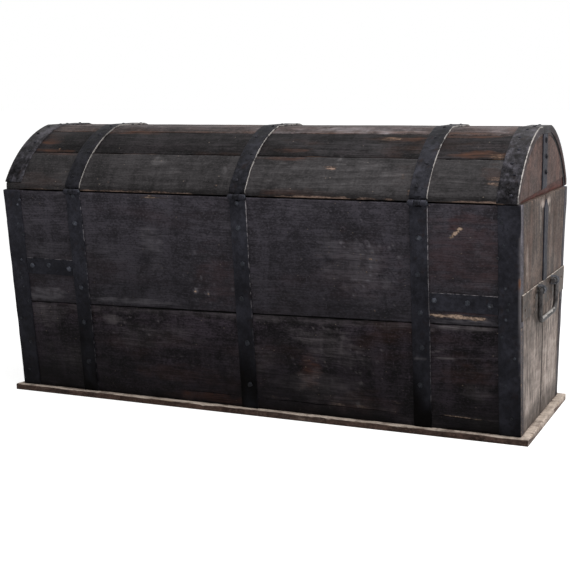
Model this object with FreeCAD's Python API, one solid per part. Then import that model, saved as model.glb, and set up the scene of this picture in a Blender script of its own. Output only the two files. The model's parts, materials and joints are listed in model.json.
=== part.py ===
import FreeCAD, Part
import math
import os

from FreeCAD import Vector

# Iron-bound storage chest with a domed lid, in millimetres.
# Frame: +Z up, X along the length, front (lock side) at -Y, hinge side at +Y,
# origin in the middle of the underside. Left is -X, right is +X, as seen from the front.

# Body: long walls lean outwards, ends stand upright between them
BODY_LENGTH = 1396.0
BODY_HEIGHT = 547.0
BASE_DEPTH = 422.0
RIM_DEPTH = 532.0
WALL_THICK = 26.0
END_THICK = 26.0
END_JOINT = 3.0
BACK_SEAM_LEFT = 264.0
BACK_SEAM_RIGHT = 239.0
FRONT_SEAM = 252.0

# Base boards under the body
BASE_THICK = 16.0
BASE_END_OVERHANG = 20.0
BASE_SIDE_OVERHANG = 15.0
BASE_BOARD_NAMES = ("front", "middle", "back")

# Lid: an upright rim, then an arch of staves that is flat along its crown
LID_END_SETBACK = 8.0
LID_RIM = 15.0
LID_RISE = 154.0
CROWN_WIDTH = 134.0
LID_FRONT_OVERHANG = 16.0
STAVE_THICK = 22.0
STAVE_SEAM_ANGLES = (39.5, 21.3, 1.0, -19.0, -38.0)
LID_END_THICK = 24.0
RAIL_BACK = 4.0
RAIL_FRONT = 26.0
RAIL_SETBACK = 2.5

# Iron straps and bands
STRAP_INSET = {"left": 237.0, "right": 220.0}
STRAP_WIDTH = 44.0
STRAP_THICK = 4.0
IRON_THICK = 3.0
IRON_GAP = 0.2
CORNER_WIDTH = 52.0
BAND_WIDTH = 43.0
BAND_HEIGHT = {"left": 314.0, "right": 341.0}
BAND_MARGIN = 4.0
END_BAND_WIDTH = 62.0
END_BAND_DROP = 4.5
END_STRAP_WIDTH = 40.0
END_STRAP_DROP = 10.0
LID_BAND_WIDTH = 48.0
LID_BAND_FLANGE = 15.0
LID_BAND_FOOT = {"left": 3.0, "right": 21.0}
LID_END_STRAP_WIDTH = 50.0
RIM_GAP = 1.0

# Strap hinges
PIN_RADIUS = 3.5
PIN_FIT = 0.05
PIN_PROUD = 2.0
KNUCKLE_RADIUS = 7.0
KNUCKLE_WIDTH = 15.0
KNUCKLE_PLAY = 0.5
KNUCKLE_CLEAR = 0.3
LEAF_RELIEF = 1.5

# Drop handles
HANDLE_BAR = 6.0
HANDLE_FLATS = 12
BEND_STEPS = 6
HANDLE_HALF = 93.0
HANDLE_DROP = 76.0
HANDLE_BEND = 26.0
HANDLE_NECK = 9.0
HANDLE_CLEAR = 3.0
HANDLE_RISE = 15.0
EYE_RADIUS = 11.0
EYE_WIDTH = 12.0
EYE_FIT = 0.3
EYE_PLAY = 1.5
STUB_PROUD = 14.0

# Hasp and staple
HASP_WIDTH = 38.0
HASP_THICK = 5.0
HASP_LENGTH = 118.0
HASP_KNUCKLE = 16.0
SLOT_DROP = 84.0
SLOT_WIDTH = 14.0
SLOT_HEIGHT = 42.0
STAPLE_THICK = 8.0
STAPLE_HEIGHT = 26.0
STAPLE_BAR = 8.0
STAPLE_CLEAR = 3.0

# Places worked out from the sizes above
BODY_Z = BASE_THICK
RIM_Z = BODY_Z + BODY_HEIGHT
HALF_LENGTH = BODY_LENGTH / 2
LEAN = (RIM_DEPTH - BASE_DEPTH) / 2 / BODY_HEIGHT
LEVEL = math.hypot(1.0, LEAN)
LID_LENGTH = BODY_LENGTH - 2 * LID_END_SETBACK
LID_HALF = LID_LENGTH / 2
STRAP_X = {
    "left": STRAP_INSET["left"] - HALF_LENGTH,
    "middle": 0.0,
    "right": HALF_LENGTH - STRAP_INSET["right"],
}
LID_BACK_Y = RIM_DEPTH / 2
LID_FRONT_Y = -(RIM_DEPTH / 2 + LID_FRONT_OVERHANG)
LID_MID_Y = (LID_BACK_Y + LID_FRONT_Y) / 2
LID_HALF_DEPTH = (LID_BACK_Y - LID_FRONT_Y) / 2
LID_RADIUS = (LID_HALF_DEPTH ** 2 + LID_RISE ** 2) / (2 * LID_RISE)
LID_CENTRE_Z = RIM_Z + LID_RIM + LID_RISE - LID_RADIUS
CROWN_Z = LID_CENTRE_Z + math.sqrt(LID_RADIUS ** 2 - (CROWN_WIDTH / 2) ** 2)
EYE_OUTER = HANDLE_HALF - HANDLE_NECK - EYE_PLAY
HINGE_Y = LID_BACK_Y + KNUCKLE_CLEAR + KNUCKLE_RADIUS
HINGE_Z = RIM_Z
LEAF_STEP = KNUCKLE_RADIUS + LEAF_RELIEF
HASP_Y = LID_FRONT_Y - KNUCKLE_CLEAR - KNUCKLE_RADIUS
HASP_Z = RIM_Z + KNUCKLE_RADIUS
HANDLE_X = HALF_LENGTH + IRON_THICK + HANDLE_CLEAR + HANDLE_BAR
BACK, FRONT = 1, -1
END_SIDE = {"left": -1, "right": 1}
REACH = 2 * (BODY_LENGTH + BODY_HEIGHT)
MITRED = 1


def save(name, shape):
    shape.exportStep("parts/" + name + ".step")


def prism_x(points, x0, x1):
    """Outline of (y, z) points, drawn out along X."""
    corners = [Vector(x0, y, z) for y, z in points]
    face = Part.Face(Part.makePolygon(corners + corners[:1]))
    return face.extrude(Vector(x1 - x0, 0, 0))


def prism_y(points, y0, y1):
    """Outline of (x, z) points, drawn out along Y."""
    corners = [Vector(x, y0, z) for x, z in points]
    face = Part.Face(Part.makePolygon(corners + corners[:1]))
    return face.extrude(Vector(0, y1 - y0, 0))


def rod_x(radius, x0, x1, y, z):
    return Part.makeCylinder(radius, x1 - x0, Vector(x0, y, z), Vector(1, 0, 0))


def rod_y(radius, y0, y1, x, z):
    return Part.makeCylinder(radius, y1 - y0, Vector(x, y0, z), Vector(0, 1, 0))


def wall_y(z, out=0.0):
    """Half depth of the body at a height, at a distance out from the wall's outer face."""
    return BASE_DEPTH / 2 + LEAN * (z - BODY_Z) + out * LEVEL


def wall_slab(side, x0, x1, z0, z1, out0, out1):
    """Slab that leans with a long wall, between two distances out from its outer face."""
    points = [(side * wall_y(z0, out0), z0), (side * wall_y(z1, out0), z1)]
    points += [(side * wall_y(z1, out1), z1), (side * wall_y(z0, out1), z0)]
    return prism_x(points, x0, x1)


def long_wall(label, side, seam_left, seam_right):
    """Lower and upper board of a long wall, parted along a straight joint."""
    slab = wall_slab(side, -HALF_LENGTH, HALF_LENGTH, BODY_Z, RIM_Z, -WALL_THICK, 0.0)
    joint = [(-HALF_LENGTH, BODY_Z + seam_left), (HALF_LENGTH, BODY_Z + seam_right)]
    below = prism_y(joint + [(HALF_LENGTH, BODY_Z), (-HALF_LENGTH, BODY_Z)], -REACH, REACH)
    save(label + "_board_lower", slab.common(below))
    save(label + "_board_upper", slab.cut(below))


def end_boards(label):
    """Two upright boards between the long walls, with an open joint in the middle."""
    side = END_SIDE[label]
    x0, x1 = sorted((side * (HALF_LENGTH - END_THICK), side * HALF_LENGTH))
    for name, face in (("back", BACK), ("front", FRONT)):
        points = [(face * END_JOINT / 2, BODY_Z), (face * wall_y(BODY_Z, -WALL_THICK), BODY_Z)]
        points += [(face * wall_y(RIM_Z, -WALL_THICK), RIM_Z), (face * END_JOINT / 2, RIM_Z)]
        save(label + "_end_board_" + name, prism_x(points, x0, x1))


def base_boards():
    half_depth = BASE_DEPTH / 2 + BASE_SIDE_OVERHANG
    half_length = HALF_LENGTH + BASE_END_OVERHANG
    width = 2 * half_depth / len(BASE_BOARD_NAMES)
    for number, name in enumerate(BASE_BOARD_NAMES):
        corner = Vector(-half_length, -half_depth + number * width, 0)
        save("base_board_" + name, Part.makeBox(2 * half_length, width, BASE_THICK, corner))


def corner_irons():
    for end, side in END_SIDE.items():
        x0, x1 = sorted((side * (HALF_LENGTH - CORNER_WIDTH), side * HALF_LENGTH))
        for name, face in (("back", BACK), ("front", FRONT)):
            iron = wall_slab(face, x0, x1, BODY_Z, RIM_Z - RIM_GAP, 0.0, IRON_THICK)
            save("corner_iron_" + name + "_" + end, iron)


def side_straps():
    """Short level straps on the long walls, from an outer strap to the corner iron."""
    for end, side in END_SIDE.items():
        inner = STRAP_X[end] + side * STRAP_WIDTH / 2
        outer = side * (HALF_LENGTH - CORNER_WIDTH)
        x0, x1 = sorted((inner, outer))
        low = BODY_Z + BAND_HEIGHT[end] - BAND_WIDTH / 2
        for name, face in (("back", BACK), ("front", FRONT)):
            strap = wall_slab(face, x0, x1, low, low + BAND_WIDTH, 0.0, IRON_THICK)
            save("side_strap_" + name + "_" + end, strap)


def end_irons(end):
    """Level band and pointed upright strap on an end."""
    side = END_SIDE[end]
    x0, x1 = sorted((side * HALF_LENGTH, side * (HALF_LENGTH + IRON_THICK)))
    low = BODY_Z + BAND_HEIGHT[end] - END_BAND_DROP - END_BAND_WIDTH / 2
    high = low + END_BAND_WIDTH
    points = [(-wall_y(low) + BAND_MARGIN, low), (wall_y(low) - BAND_MARGIN, low)]
    points += [(wall_y(high) - BAND_MARGIN, high), (-wall_y(high) + BAND_MARGIN, high)]
    save("end_band_" + end, prism_x(points, x0, x1))
    half = END_STRAP_WIDTH / 2
    tip = RIM_Z - END_STRAP_DROP
    points = [(-half, high), (half, high), (half, tip - half), (0, tip), (-half, tip - half)]
    save("end_strap_" + end, prism_x(points, x0, x1))


def knuckle_spans(centre_x, width, middle):
    """Spans along X of the middle knuckle and of the two beside it."""
    edge = middle / 2 + KNUCKLE_PLAY
    inner = [(centre_x - middle / 2, centre_x + middle / 2)]
    outer = [(centre_x - width / 2, centre_x - edge), (centre_x + edge, centre_x + width / 2)]
    return inner, outer


def knuckle_bore(x, y, z):
    return rod_x(PIN_RADIUS + PIN_FIT, x - STRAP_WIDTH, x + STRAP_WIDTH, y, z)


def hinge_leaf(x):
    """Strap on the back wall, rolled into two knuckles at the rim."""
    half = STRAP_WIDTH / 2
    leaf = wall_slab(BACK, x - half, x + half, BODY_Z, HINGE_Z - LEAF_STEP, 0.0, STRAP_THICK)
    for x0, x1 in knuckle_spans(x, STRAP_WIDTH, KNUCKLE_WIDTH)[1]:
        leaf = leaf.fuse(wall_slab(BACK, x0, x1, HINGE_Z - LEAF_STEP, HINGE_Z, 0.0, STRAP_THICK))
        leaf = leaf.fuse(rod_x(KNUCKLE_RADIUS, x0, x1, HINGE_Y, HINGE_Z))
    return leaf.cut(knuckle_bore(x, HINGE_Y, HINGE_Z)).removeSplitter()


def arch_arc(first, last, radius):
    """Arc of the arch between two of its points."""
    centre = Vector(first.x, LID_MID_Y, LID_CENTRE_Z)
    middle = centre + ((first + last) / 2 - centre).normalize() * radius
    return Part.Arc(first, middle, last).toShape()


def lid_solid(out, x0, x1):
    """All that lies inside the lid's outline, moved out by a distance, above the rim."""
    radius = LID_RADIUS + out
    back, front = LID_BACK_Y + out, LID_FRONT_Y - out
    back_z = LID_CENTRE_Z + math.sqrt(radius ** 2 - (back - LID_MID_Y) ** 2)
    front_z = LID_CENTRE_Z + math.sqrt(radius ** 2 - (front - LID_MID_Y) ** 2)
    foot_front, foot_back = Vector(x0, front, RIM_Z), Vector(x0, back, RIM_Z)
    top_front, top_back = Vector(x0, front, front_z), Vector(x0, back, back_z)
    crown_z = CROWN_Z + out
    crown_half = math.sqrt(radius ** 2 - (crown_z - LID_CENTRE_Z) ** 2)
    crown_front = Vector(x0, LID_MID_Y - crown_half, crown_z)
    crown_back = Vector(x0, LID_MID_Y + crown_half, crown_z)
    edges = [Part.LineSegment(foot_front, top_front).toShape()]
    edges.append(arch_arc(top_front, crown_front, radius))
    edges.append(Part.LineSegment(crown_front, crown_back).toShape())
    edges.append(arch_arc(crown_back, top_back, radius))
    edges.append(Part.LineSegment(top_back, foot_back).toShape())
    edges.append(Part.LineSegment(foot_back, foot_front).toShape())
    return Part.Face(Part.Wire(edges)).extrude(Vector(x1 - x0, 0, 0))


def lid_shell(inner, outer, x0, x1):
    return lid_solid(outer, x0, x1).cut(lid_solid(inner, x0, x1))


def lid_staves():
    """Boards of the dome, parted by planes through the arch's centre."""
    shell = lid_shell(-STAVE_THICK, 0.0, -LID_HALF, LID_HALF)
    limits = (120.0,) + STAVE_SEAM_ANGLES + (-120.0,)
    for number in range(len(limits) - 1):
        points = [(LID_MID_Y, LID_CENTRE_Z)]
        for angle in (limits[number], limits[number + 1]):
            turn = math.radians(angle)
            points.append((LID_MID_Y + REACH * math.sin(turn), LID_CENTRE_Z + REACH * math.cos(turn)))
        save("lid_stave_%d" % (number + 1), shell.common(prism_x(points, -LID_HALF, LID_HALF)))


def rail_top(y):
    """Height of the sloping joint between a lid end board and the rail under it."""
    share = (LID_BACK_Y - y) / (LID_BACK_Y - LID_FRONT_Y)
    return RIM_Z + RAIL_BACK + share * (RAIL_FRONT - RAIL_BACK)


def below_rail_joint(y0, y1, x0, x1):
    points = [(y0, RIM_Z), (y1, RIM_Z), (y1, rail_top(y1)), (y0, rail_top(y0))]
    return prism_x(points, x0, x1)


def lid_end(end):
    """Arched end board, wedge rail under it and upright strap on it."""
    side = END_SIDE[end]
    x0, x1 = sorted((side * (LID_HALF - LID_END_THICK), side * LID_HALF))
    inset = STAVE_THICK + IRON_GAP
    y0, y1 = LID_FRONT_Y + inset, LID_BACK_Y - inset
    board = lid_solid(-inset, x0, x1).cut(below_rail_joint(y0, y1, x0, x1))
    save("lid_end_board_" + end, board)
    r0, r1 = sorted((side * (LID_HALF - LID_END_THICK), side * (LID_HALF - RAIL_SETBACK)))
    rail = lid_solid(-inset, r0, r1).common(below_rail_joint(y0, y1, r0, r1))
    save("lid_end_rail_" + end, rail)
    s0, s1 = sorted((side * LID_HALF, side * (LID_HALF + IRON_THICK)))
    w0, w1 = LID_MID_Y - LID_END_STRAP_WIDTH / 2, LID_MID_Y + LID_END_STRAP_WIDTH / 2
    column = [(w0, rail_top(w0)), (w1, rail_top(w1)), (w1, REACH), (w0, REACH)]
    strap = lid_solid(-LID_BAND_FLANGE - IRON_GAP, s0, s1).common(prism_x(column, s0, s1))
    save("lid_end_strap_" + end, strap)


def lid_end_band(end):
    """Angle iron along the arched edge: a band on the staves and a flange on the end."""
    side = END_SIDE[end]
    x0, x1 = sorted((side * (LID_HALF - LID_BAND_WIDTH), side * LID_HALF))
    f0, f1 = sorted((side * LID_HALF, side * (LID_HALF + IRON_THICK)))
    band = lid_shell(IRON_GAP, IRON_GAP + IRON_THICK, x0, x1)
    flange = lid_shell(-LID_BAND_FLANGE, IRON_GAP + IRON_THICK, f0, f1)
    foot = RIM_Z + LID_BAND_FOOT[end]
    trim = Part.makeBox(2 * REACH, 2 * REACH, REACH, Vector(-REACH, -REACH, foot - REACH))
    return band.fuse(flange).removeSplitter().cut(trim)


def trim_tongue(strap, x, width, middle, y0, y1, z):
    """Cuts the end of a lid strap back on both sides of its tongue."""
    for x0, x1 in knuckle_spans(x, width, middle)[1]:
        low, high = min(x0, x - width / 2), max(x1, x + width / 2)
        side = (low, x - middle / 2) if x1 < x else (x + middle / 2, high)
        block = Part.makeBox(side[1] - side[0], y1 - y0, z - RIM_Z, Vector(side[0], y0, RIM_Z))
        strap = strap.cut(block)
    return strap


def lid_strap(label, x):
    """Strap over the dome; its back end is a knuckle, and the middle one also carries the hasp."""
    half = STRAP_WIDTH / 2
    strap = lid_shell(IRON_GAP, IRON_GAP + STRAP_THICK, x - half, x + half)
    outer = IRON_GAP + STRAP_THICK
    back0, back1 = LID_BACK_Y, LID_BACK_Y + outer
    strap = trim_tongue(strap, x, STRAP_WIDTH, KNUCKLE_WIDTH, back0, back1, HINGE_Z + LEAF_STEP)
    x0, x1 = knuckle_spans(x, STRAP_WIDTH, KNUCKLE_WIDTH)[0][0]
    strap = strap.fuse(rod_x(KNUCKLE_RADIUS, x0, x1, HINGE_Y, HINGE_Z))
    strap = strap.cut(knuckle_bore(x, HINGE_Y, HINGE_Z))
    if label == "middle":
        front0, front1 = LID_FRONT_Y - outer, LID_FRONT_Y
        top = HASP_Z + LEAF_STEP
        strap = trim_tongue(strap, x, STRAP_WIDTH, HASP_KNUCKLE, front0, front1, top)
        below = Part.makeBox(STRAP_WIDTH, outer, HASP_Z - RIM_Z, Vector(x - half, front0, RIM_Z))
        x0, x1 = knuckle_spans(x, HASP_WIDTH, HASP_KNUCKLE)[0][0]
        strap = strap.cut(below).fuse(rod_x(KNUCKLE_RADIUS, x0, x1, HASP_Y, HASP_Z))
        strap = strap.cut(knuckle_bore(x, HASP_Y, HASP_Z))
    return strap.removeSplitter()


def front_strap(x):
    half = STRAP_WIDTH / 2
    return wall_slab(FRONT, x - half, x + half, BODY_Z, RIM_Z - RIM_GAP, 0.0, STRAP_THICK)


def hasp():
    """Hanging plate with two knuckles at its top and a slot for the staple."""
    x = STRAP_X["middle"]
    half = HASP_WIDTH / 2
    y0, y1 = HASP_Y - HASP_THICK / 2, HASP_Y + HASP_THICK / 2
    shoulder, tip = HASP_Z - LEAF_STEP, HASP_Z - HASP_LENGTH
    plate = Part.makeBox(HASP_WIDTH, HASP_THICK, shoulder - tip - half, Vector(x - half, y0, tip + half))
    plate = plate.fuse(rod_y(half, y0, y1, x, tip + half))
    for x0, x1 in knuckle_spans(x, HASP_WIDTH, HASP_KNUCKLE)[1]:
        plate = plate.fuse(Part.makeBox(x1 - x0, HASP_THICK, LEAF_STEP, Vector(x0, y0, shoulder)))
        plate = plate.fuse(rod_x(KNUCKLE_RADIUS, x0, x1, HASP_Y, HASP_Z))
    round_slot = SLOT_HEIGHT / 2 - SLOT_WIDTH / 2
    centre = HASP_Z - SLOT_DROP
    corner = Vector(x - SLOT_WIDTH / 2, y0, centre - round_slot)
    slot = Part.makeBox(SLOT_WIDTH, HASP_THICK, 2 * round_slot, corner)
    for z in (centre - round_slot, centre + round_slot):
        slot = slot.fuse(rod_y(SLOT_WIDTH / 2, y0, y1, x, z))
    return plate.removeSplitter().cut(slot).cut(knuckle_bore(x, HASP_Y, HASP_Z))


def hasp_staple():
    """Loop on the middle front strap, which the hasp's slot drops over."""
    x0 = STRAP_X["middle"] - STAPLE_THICK / 2
    x1 = x0 + STAPLE_THICK
    centre = HASP_Z - SLOT_DROP
    tip = HASP_Y + HASP_THICK / 2 + STAPLE_CLEAR

    def loop(half):
        root = [(-wall_y(z, STRAP_THICK), z) for z in (centre - half, centre + half)]
        bend = tip + STAPLE_HEIGHT / 2
        low, high = Vector(x0, bend, centre - half), Vector(x0, bend, centre + half)
        edges = [Part.LineSegment(Vector(x0, *root[0]), low).toShape()]
        edges.append(Part.Arc(low, Vector(x0, bend - half, centre), high).toShape())
        edges.append(Part.LineSegment(high, Vector(x0, *root[1])).toShape())
        edges.append(Part.LineSegment(Vector(x0, *root[1]), Vector(x0, *root[0])).toShape())
        return Part.Face(Part.Wire(edges)).extrude(Vector(x1 - x0, 0, 0))

    return loop(STAPLE_HEIGHT / 2).cut(loop(STAPLE_HEIGHT / 2 - STAPLE_BAR))


def bent_line(points, radii):
    """Line of a bent bar: straight runs, with each bend struck in short steps."""
    line = [points[0]]
    for corner, after, before, radius in zip(points[1:-1], points[2:], points[:-2], radii):
        along = (corner - before).normalize()
        onward = (after - corner).normalize()
        turn = along.getAngle(onward)
        first = corner - along * (radius * math.tan(turn / 2))
        centre = first + (onward - along * math.cos(turn)).normalize() * radius
        for k in range(BEND_STEPS + 1):
            swung = turn * k / BEND_STEPS
            line.append(centre + (first - centre) * math.cos(swung) + along * (radius * math.sin(swung)))
    return Part.makePolygon(line + [points[-1]])


def handle_axis(end):
    return END_SIDE[end] * HANDLE_X, BODY_Z + BAND_HEIGHT[end] + HANDLE_RISE


def handle(end):
    """Drop handle bent from bar hammered near round; its ends turn inwards into the eyes."""
    x, z = handle_axis(end)
    stub = EYE_OUTER - EYE_WIDTH - STUB_PROUD
    route = [(-stub, 0), (-HANDLE_HALF, 0), (-HANDLE_HALF, -HANDLE_DROP)]
    route += [(HANDLE_HALF, -HANDLE_DROP), (HANDLE_HALF, 0), (stub, 0)]
    points = [Vector(x, y, z + rise) for y, rise in route]
    path = bent_line(points, [HANDLE_NECK, HANDLE_BEND, HANDLE_BEND, HANDLE_NECK])
    turns = [2 * math.pi * k / HANDLE_FLATS for k in range(HANDLE_FLATS + 1)]
    ring = [points[0] + Vector(math.cos(a), 0, math.sin(a)) * HANDLE_BAR for a in turns]
    return path.makePipeShell([Part.makePolygon(ring)], True, True, MITRED)


def handle_eyes(end):
    """Two lugs on the end band, bored for the ends of the handle."""
    side = END_SIDE[end]
    x, z = handle_axis(end)
    root = side * (HALF_LENGTH + IRON_THICK)
    lugs = []
    for y0 in (EYE_OUTER - EYE_WIDTH, -EYE_OUTER):
        low, high = Vector(x, y0, z - EYE_RADIUS), Vector(x, y0, z + EYE_RADIUS)
        foot_low, foot_high = Vector(root, y0, z - EYE_RADIUS), Vector(root, y0, z + EYE_RADIUS)
        edges = [Part.LineSegment(foot_low, low).toShape()]
        edges.append(Part.Arc(low, Vector(x + side * EYE_RADIUS, y0, z), high).toShape())
        edges.append(Part.LineSegment(high, foot_high).toShape())
        edges.append(Part.LineSegment(foot_high, foot_low).toShape())
        lug = Part.Face(Part.Wire(edges)).extrude(Vector(0, EYE_WIDTH, 0))
        lugs.append(lug.cut(rod_y(HANDLE_BAR + EYE_FIT, y0, y0 + EYE_WIDTH, x, z)))
    return Part.makeCompound(lugs)


def pin(x, width, y, z):
    half = width / 2 + PIN_PROUD
    return rod_x(PIN_RADIUS, x - half, x + half, y, z)


def main():
    os.makedirs("parts", exist_ok=True)
    base_boards()
    long_wall("back", BACK, BACK_SEAM_LEFT, BACK_SEAM_RIGHT)
    long_wall("front", FRONT, FRONT_SEAM, FRONT_SEAM)
    corner_irons()
    side_straps()
    lid_staves()
    for label, x in STRAP_X.items():
        save("hinge_leaf_" + label, hinge_leaf(x))
        save("hinge_pin_" + label, pin(x, STRAP_WIDTH, HINGE_Y, HINGE_Z))
        save("lid_strap_" + label, lid_strap(label, x))
        save("front_strap_" + label, front_strap(x))
    for end in END_SIDE:
        end_boards(end)
        end_irons(end)
        lid_end(end)
        save("lid_end_band_" + end, lid_end_band(end))
        save("handle_" + end, handle(end))
        save("handle_eyes_" + end, handle_eyes(end))
    save("hasp", hasp())
    save("hasp_pin", pin(STRAP_X["middle"], HASP_WIDTH, HASP_Y, HASP_Z))
    save("hasp_staple", hasp_staple())


main()
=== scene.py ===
"""Looks of an iron-bound storage chest with a domed lid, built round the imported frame."""

import json
import math
import random

import bpy
import numpy as np
from mathutils import Matrix, Vector

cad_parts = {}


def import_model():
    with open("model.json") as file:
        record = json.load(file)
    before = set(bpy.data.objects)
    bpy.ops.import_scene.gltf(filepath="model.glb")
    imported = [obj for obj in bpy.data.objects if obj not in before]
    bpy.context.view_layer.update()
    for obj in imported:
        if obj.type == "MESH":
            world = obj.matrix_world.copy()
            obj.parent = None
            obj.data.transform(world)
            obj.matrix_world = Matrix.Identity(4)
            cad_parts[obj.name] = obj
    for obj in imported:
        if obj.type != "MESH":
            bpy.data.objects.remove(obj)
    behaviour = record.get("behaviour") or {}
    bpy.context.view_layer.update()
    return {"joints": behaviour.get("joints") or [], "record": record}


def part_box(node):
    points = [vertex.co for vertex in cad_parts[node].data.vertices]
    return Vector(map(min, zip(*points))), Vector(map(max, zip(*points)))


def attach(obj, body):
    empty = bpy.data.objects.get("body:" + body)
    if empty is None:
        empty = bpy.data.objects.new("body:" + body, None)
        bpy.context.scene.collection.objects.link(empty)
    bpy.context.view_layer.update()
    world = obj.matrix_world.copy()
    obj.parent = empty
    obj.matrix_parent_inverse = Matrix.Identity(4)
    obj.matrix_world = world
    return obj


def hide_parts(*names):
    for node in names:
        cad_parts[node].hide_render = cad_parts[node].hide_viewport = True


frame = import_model()

MM = 0.001
X, Y, Z = range(3)
SIDE = {"left": -1, "right": 1}
FACE = {"back": 1, "front": -1}
BODY_OF = {node: body for body, nodes in frame["record"]["behaviour"]["bodies"].items() for node in nodes}
AXIS_AT = {joint["name"]: [round(c / MM, 2) for c in joint["pos_m"]] for joint in frame["joints"]}


def extent(node, axis):
    """Lowest and highest place of a node along an axis, in millimetres."""
    return tuple(round(corner[axis] / MM, 2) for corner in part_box(node))


# Sizes in millimetres, from the frame where it shows them; the meshes are made in metres
BODY_Z, RIM_Z = extent("left_end_board_back", Z)
HALF_LENGTH = extent("back_board_lower", X)[1]
BASE_HALF, RIM_HALF = extent("hinge_leaf_left", Y)[0], extent("back_board_upper", Y)[1]
LEAN = (RIM_HALF - BASE_HALF) / (RIM_Z - BODY_Z)
LEVEL = math.hypot(1.0, LEAN)
WALL_THICK, END_THICK, STAVE_THICK, LID_END_THICK = 26.0, 26.0, 22.0, 24.0
LID_HALF = extent("lid_stave_1", X)[1]
LID_BACK, LID_FRONT = extent("lid_stave_1", Y)[1], extent("lid_stave_6", Y)[0]
LID_MID, LID_REACH = (LID_BACK + LID_FRONT) / 2, (LID_BACK - LID_FRONT) / 2
LID_RIM, LID_RISE, CROWN_HALF = 15.0, 154.0, 67.0
ARCH_R = (LID_REACH ** 2 + LID_RISE ** 2) / (2 * LID_RISE)
ARCH_Z = RIM_Z + LID_RIM + LID_RISE - ARCH_R
ARC = ARCH_R * math.asin(LID_REACH / ARCH_R)
OVER_LID = 2 * (ARC + LID_RIM)
CROWN_Z = ARCH_Z + math.sqrt(ARCH_R ** 2 - CROWN_HALF ** 2)
STAVE_SEAMS = (39.5, 21.3, 1.0, -19.0, -38.0)
RAIL_LOW, RAIL_HIGH = 4.0, 26.0
# Wall and lid stand this far from the rim's plane, but for the stretch next to the corners
WALL_OPENING, LID_OPENING = 1.6, 2.2
CORNER_FROM, CORNER_RUN = 630.0, 30.0
SEAM_GAP, STAVE_GAP, BASE_GAP, RAIL_GAP = 0.6, 0.3, 0.2, 0.2
STRAP_THICK, IRON_THICK, IRON_GAP, IRON_SINK = 4.0, 3.0, 0.2, 0.8
STRAP_X = {label: sum(extent("hinge_leaf_" + label, X)) / 2 for label in ("left", "middle", "right")}
UPRIGHT = (BODY_Z + 0.5, RIM_Z - 1)
LID_BAND_WIDTH, LID_BAND_FLANGE = 48.0, 15.0
HINGE, HASP = AXIS_AT["lid_hinge"][Y:], AXIS_AT["hasp_hinge"][Y:]
KNUCKLE_R, KNUCKLE_W, PIN_R = 7.0, 15.0, 3.5
PIN_OUT, LEAF_STEP, TONGUE_LAP = 1.0, 8.5, 6.0
STRAP_FOOT, HASP_STRAP_FOOT, HASP_TONGUE_FOOT = 0.6, 24.0, 7.0
HANDLE_BAR, HANDLE_HALF, HANDLE_DROP, HANDLE_BEND, HANDLE_NECK = 5.9, 93.0, 76.0, 26.0, 9.0
STUB_END, EYE_Y, EYE_R = 56.5, 76.5, 8.7
EYE_SECTION = (6.0, 2.3, 1.0)
HASP_HALF, HASP_THICK, HASP_LENGTH, HASP_MIDDLE_KNUCKLE = 19.0, 5.0, 118.0, 16.0
SLOT_DROP, SLOT_R, SLOT_RISE = 84.0, 7.0, 14.0
STAPLE_R, STAPLE_BEND, STAPLE_ROOT = 9.0, 18.5, 3.0
STAPLE_SECTION = (4.0, 4.0, 1.4)
STRAP_NAIL, LID_STRAP_NAIL, LID_BAND_NAIL, CORNER_NAIL, END_NAIL = 7.4, 4.6, 4.4, 4.2, 4.0
NAIL_SINK = 0.2

# Kinds of marks, and how noise, wear, painted shade and painted highlight lines lie on a slab along s and t
RAW, DUST, RED, BLACK = range(4)
MARKS = {"raw": RAW, "dust": DUST, "red": RED, "black": BLACK}
EDGE_NOISE, NICK_NOISE, WAVE_NOISE = (38, 38, 1), (13, 13, 1), (120, 75, 1)
RIDGE_NOISE, DARKENING_NOISE = (260, 7, 1), (110, 60, 1)
WEAR_REACH, LINE_REACH = 12.0, 4.0
DARKENING_OFF_RUST, WORN_AND_LIT_BELOW, SIDE_DUST = 0.45, 0.74, 0.45


# Noise

def lattice(i, j, k, seed):
    h = (i * 374761393 + j * 668265263 + k * 1440662683 + seed * 974634777) & 0xFFFFFFFF
    h = ((h ^ (h >> 13)) * 1274126177) & 0xFFFFFFFF
    return ((h ^ (h >> 16)) & 0xFFFF) / 32767.5 - 1.0


def noise(p, seed):
    """Smooth noise from -1 to 1 at points of any shape (..., 3)."""
    cell = np.floor(p).astype(np.int64)
    f = p - cell
    f = f * f * (3 - 2 * f)
    total = 0.0
    for corner in range(8):
        bit = [(corner >> axis) & 1 for axis in range(3)]
        weight = 1.0
        for axis in range(3):
            weight = weight * (f[..., axis] if bit[axis] else 1 - f[..., axis])
        total = total + weight * lattice(*[cell[..., axis] + bit[axis] for axis in range(3)], seed)
    return total


def rough_noise(p, seed):
    return sum(noise(p * 2.03 ** o, seed + 17 * o) * 0.5 ** o for o in range(3))


def points(*parts):
    return np.stack(np.broadcast_arrays(*[np.asarray(q, float) for q in parts]), -1)


# Places: a surface point from two coordinates and a distance out from the surface

def on_wall(side):
    def place(x, z, n):
        return points(x, side * (BASE_HALF + LEAN * (z - BODY_Z) + n * LEVEL), z)
    return place


def on_end(side, half):
    def place(z, y, n):
        return points(side * (half + n), y, z)
    return place


def on_arch(a, x, n):
    """a runs over the lid from its back rim to its front rim."""
    m = a - OVER_LID / 2
    radius = ARCH_R + n
    half = np.arcsin((LID_REACH + n) / radius)
    turn = np.clip(m / ARC, -1, 1) * half
    kink = ARCH_Z + radius * np.cos(half)
    below = np.maximum(np.abs(m) - ARC, 0) / LID_RIM
    z = np.where(below > 0, kink + (RIM_Z - kink) * below, ARCH_Z + radius * np.cos(turn))
    z = np.minimum(z, CROWN_Z + n)
    return points(x, LID_MID - radius * np.sin(turn), z)


def swap(place):
    return lambda s, t, n: place(t, s, n)


# Meshes

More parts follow.
